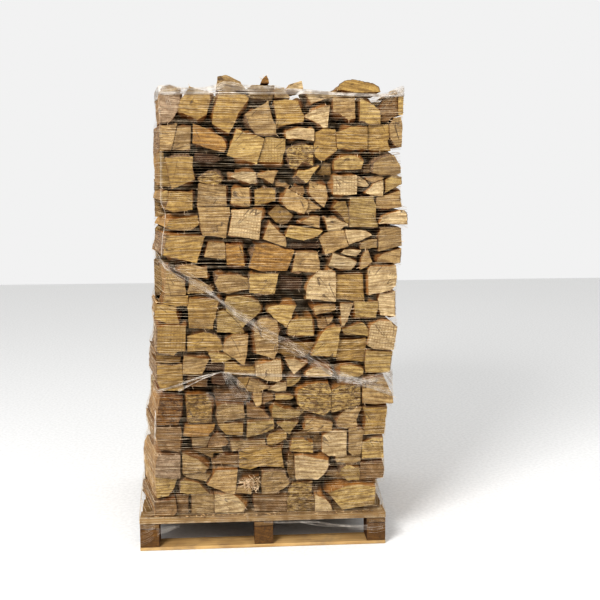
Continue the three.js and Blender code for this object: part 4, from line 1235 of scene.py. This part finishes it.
# Each bundle's path, number of strands, radius of a strand, twist, distance from the logs and steps.
BUNDLES = [
    (ROPE * [1, 1, 1.5], 20, 0.00021, 8.0, 0.0030, 90),
    (ROPE[4:8] * [1, 1, 0.5], 5, 0.0003, 9.0, 0.0035, 60),
    (ROPE[8:12], 8, 0.00026, 9.0, 0.0045, 60),
    (FOLD[:6], 9, 0.00028, 5.0, 0.0032, 60),
    (FOLD[5:], 5, 0.00028, 3.0, 0.0032, 60),
    (SECOND_FOLD, 8, 0.0003, 5.0, 0.0040, 24),
]
# Folds down the left front corner, and bunches on both corners: the X and Z points, number of
# strands, width, radius of a strand and distance from the logs.
CORNER_FOLDS = [
    ([(-0.390, 1.80), (-0.384, 1.66)], 2, 0.006, 0.00026, 0.0030),
    ([(-0.384, 1.60), (-0.389, 1.41), (-0.396, 1.19)], 4, 0.008, 0.00030, 0.0030),
    ([(-0.441, 0.572), (-0.434, 0.518), (-0.440, 0.455)], 10, 0.018, 0.0004, 0.0032),
    ([(-0.37, 1.846), (-0.359, 1.812), (-0.345, 1.755)], 3, 0.012, 0.00026, 0.0028),
    ([(0.30, 0.688), (0.40, 0.682), (0.54, 0.716)], 7, 0.022, 0.0004, 0.0040),
    ([(0.31, 0.696), (0.40, 0.678), (0.54, 0.622)], 8, 0.026, 0.0004, 0.0042),
]
known_hoops = {}


def on_the_stack(x, z, clear):
    """A point on the net. Past the front corners, x goes on counting round them along the sides."""
    level = round(min(max(z, 0.03), SHOULDER) / LEVEL_STEP)
    if level not in known_hoops:
        points = hoop(level * LEVEL_STEP, 0.0)
        start = int(np.argmin(points[:, 1] - 1e-4 * np.abs(points[:, 0])))
        points = np.roll(points, -start, 0)
        points = np.concatenate([points, points[:1]])
        run = np.concatenate([[0], np.cumsum(norm(np.diff(points, axis=0), axis=1))])
        run = np.concatenate([run[:-1] - run[-1], run])
        points = np.concatenate([points[:-1], points])
        front = (np.abs(run) < 0.9) & (points[:, 1] < 0)
        centre = float(np.interp(0.0, points[front, 0], run[front]))
        known_hoops[level] = (run - centre, points)
    run, points = known_hoops[level]
    at, ahead = (
        np.array([np.interp(way, run, points[:, 0]), np.interp(way, run, points[:, 1])])
        for way in (x, x + 0.01)
    )
    along = ahead - at
    along /= norm(along) + 1e-9
    out = at + np.array([along[1], -along[0]]) * clear
    return (float(out[0]), float(out[1]), float(z))


def varied(girth):
    return girth * (0.6 + 0.8 * net_chances.random())


def bundle(path, count, girth, twist, clear, steps):
    """Strands that cross each other inside a width that changes along a path of (X, Z, half width)."""
    strands = []
    for number in range(count):
        phase = net_chances.random() * 6.28
        turns = twist * (0.5 + net_chances.random()) * (1 if number % 2 else -1)
        level = net_chances.random() * 2 - 1
        line = []
        for i in range(steps + 1):
            x = path[0, 0] + (path[-1, 0] - path[0, 0]) * i / steps
            wide = float(np.interp(x, path[:, 0], path[:, 2]))
            sway = 0.55 * level + 0.45 * math.sin(phase + turns * i / steps)
            line.append(on_the_stack(x, height_on(path, x) + wide * sway, clear + 0.0006 * (number % 4)))
        strands.append((line, varied(girth), False))
    return strands


def side_by_side(points, count, width, girth, clear, steps=24):
    """Strands through (X, Z) points that run side by side, spread evenly over a width."""
    path = np.array(points, float)
    run = np.concatenate([[0], np.cumsum(norm(np.diff(path, axis=0), axis=1))])
    upright = abs(path[-1, 1] - path[0, 1]) > abs(path[-1, 0] - path[0, 0])
    strands = []
    for number in range(count):
        off = (number / max(1, count - 1) - 0.5) * width
        off += (net_chances.random() - 0.5) * width / (count + 1)
        line = []
        for i in range(steps + 1):
            s = run[-1] * i / steps
            x = float(np.interp(s, run, path[:, 0]))
            z = float(np.interp(s, run, path[:, 1]))
            sway = 0.0012 * soft_noise(s * 20, number * 3.3, clear * 900)
            x, z = (x + off + sway, z) if upright else (x, z + off + sway)
            line.append(on_the_stack(x, max(z, 0.02), clear))
        strands.append((line, varied(girth), False))
    return strands


gathered = []
for path, *rest in BUNDLES:
    gathered += bundle(path, *rest)
# the veil that hangs from the peak of the fold, and the haze beneath it
for number in range(VEIL_STRANDS):
    share = number / (VEIL_STRANDS - 1)
    start = (PEAK[0] + 0.030 * share, PEAK[1])
    middle = (-0.140 + 0.055 * share, 0.672 + 0.010 * share)
    end = (-0.118 + 0.085 * share, 0.624 - 0.006 * share)
    gathered += side_by_side([start, middle, end], 1, 0.0, 0.00020, 0.0040 + 0.0003 * (number % 3), 12)
gathered += side_by_side([(-0.225, 0.628), (-0.05, 0.612)], 7, 0.034, 0.00030, 0.0036, 12)
for points, *rest in CORNER_FOLDS:
    gathered += side_by_side(points, *rest)
# the drawn top edge: a band straight across the front, with a tighter fold as its lower side
for number in range(BAND_STRANDS + FOLD_STRANDS):
    share = number / (BAND_STRANDS - 1)
    if number >= BAND_STRANDS:
        share = 0.90 + 0.035 * (number - BAND_STRANDS)
    line = []
    for x, y in hoop(SHOULDER, 0.0022 + 0.0004 * (number % 4)):
        edge, fold = BAND_ELSEWHERE
        if y < FRONT:
            edge, fold = height_on(TOP_LINE, x) - 0.002, height_on(BAND_FOLD, x)
        sway = soft_noise(x * 2.2 + number * 5.1, y * 2.2, number * 1.7) * 0.006
        line.append((x, y, edge + (fold - edge) * share + sway * min(1.0, share * 3)))
    gathered.append((line, 0.00022 + 0.00022 * net_chances.random(), True))
spin("net_gathered", gathered, 4, GATHERED_THREAD)


# Slack strands of the net, which hang below the deck's edge over the fork openings and the outer
# blocks: their X and Z points, and their number and width.
SLACK = [
    ([(-0.433, 0.0890), (-0.407, 0.0930), (-0.387, 0.0970), (-0.355, 0.1000)], 4, 0.008),
    ([(-0.431, 0.0755), (-0.407, 0.0810), (-0.379, 0.0890), (-0.34, 0.1010)], 3, 0.007),
    ([(-0.4316, 0.0629), (-0.411, 0.0749), (-0.36, 0.0950)], 2, 0.006),
    ([
        (0.0, 0.1080), (0.0333, 0.1060), (0.0985, 0.1035), (0.148, 0.1045), (0.209, 0.1036),
        (0.262, 0.0925), (0.332, 0.0820), (0.427, 0.0797),
    ], 5, 0.007),
    ([(0.148, 0.1040), (0.2212, 0.0880), (0.291, 0.0810), (0.36, 0.0780)], 3, 0.006),
    ([(0.3446, 0.0738), (0.4148, 0.0673), (0.49, 0.0700)], 3, 0.008),
    ([(-0.5025, 0.1060), (-0.471, 0.0978), (-0.4387, 0.1010)], 5, 0.016),
    ([(-0.4996, 0.0609), (-0.471, 0.0705), (-0.4471, 0.0844)], 5, 0.026),
    ([(-0.4964, 0.0313), (-0.468, 0.0430), (-0.4437, 0.0591)], 3, 0.014),
    ([(0.43, 0.0930), (0.46, 0.0900), (0.50, 0.0960)], 5, 0.022),
    ([(0.43, 0.0640), (0.46, 0.0610), (0.50, 0.0700)], 4, 0.022),
    ([(-0.0665, 0.1345), (-0.060, 0.1058)], 3, 0.004),
]
slack = []
for points, count, width in SLACK:
    slack += side_by_side(points, count, width, 0.00024, 0.0020, 16)
spin("net_slack", slack, 4, GATHERED_THREAD)


# Chips of bark and slivers of wood, which fell on the deck's front and rear edges when the logs were
# stacked and lie there loose.
STRIPS = [(-0.497, -0.466), (0.47, 0.497)]
STRIP_HALF_LENGTH = 0.47
STRIP_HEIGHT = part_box("deck_board_1")[1].z + 0.0012
CHIPS_PER_SQUARE_METRE = 2600
CHIP_PROFILE = [(0.0030, -0.0008), (0.0058, 0.0), (0.0052, 0.0009), (0.0022, 0.0016)]

chip_look = Look("chips")
flecks = chip_look.cloud(chip_look.place(), 60.0, 3.0)
chip_tone = chip_look.mix(flecks.between(0.42, 0.58), (0.16, 0.095, 0.05, 1), (0.55, 0.38, 0.2, 1))
CHIPS = chip_look.finish(chip_tone, 0.85, flecks, 0.0006)
chip = turned_form("chip", CHIP_PROFILE, 6)
chip.data.transform(Matrix.Diagonal((2.1, 0.8, 1.0, 1.0)))
strip_corners = []
for near, far in STRIPS:
    for side, y in ((-1, near), (1, near), (1, far), (-1, far)):
        strip_corners.append((side * STRIP_HALF_LENGTH, y, STRIP_HEIGHT))
strip_mesh = bpy.data.meshes.new("deck_strips")
strip_mesh.from_pydata(strip_corners, [], [(0, 1, 2, 3), (4, 5, 6, 7)])
grower = Grower("chips")
seed = grower.setting("Seed", "Int", 5)
sockets = {"Mesh": grower.mesh, "Density": CHIPS_PER_SQUARE_METRE, "Seed": seed}
scattered = grower.node("GeometryNodeDistributePointsOnFaces", {}, sockets)
lies = {"Min": (-0.15, -0.15, 0), "Max": (0.15, 0.15, 6.28), "Seed": seed}
angles = grower.node("FunctionNodeRandomValue", {"data_type": "FLOAT_VECTOR"}, lies)
turn = grower.node("FunctionNodeEulerToRotation", {}, {"Euler": angles})
spread = {"Min_001": 0.3, "Max_001": 1.25, "Seed": seed}
size = grower.node("FunctionNodeRandomValue", {"data_type": "FLOAT"}, spread, 1)
strewn = grower.set_out(chip, scattered, Rotation=turn, Scale=size)
chips = grower.run("deck_chips", strip_mesh, strewn, CHIPS)
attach(chips, "root")
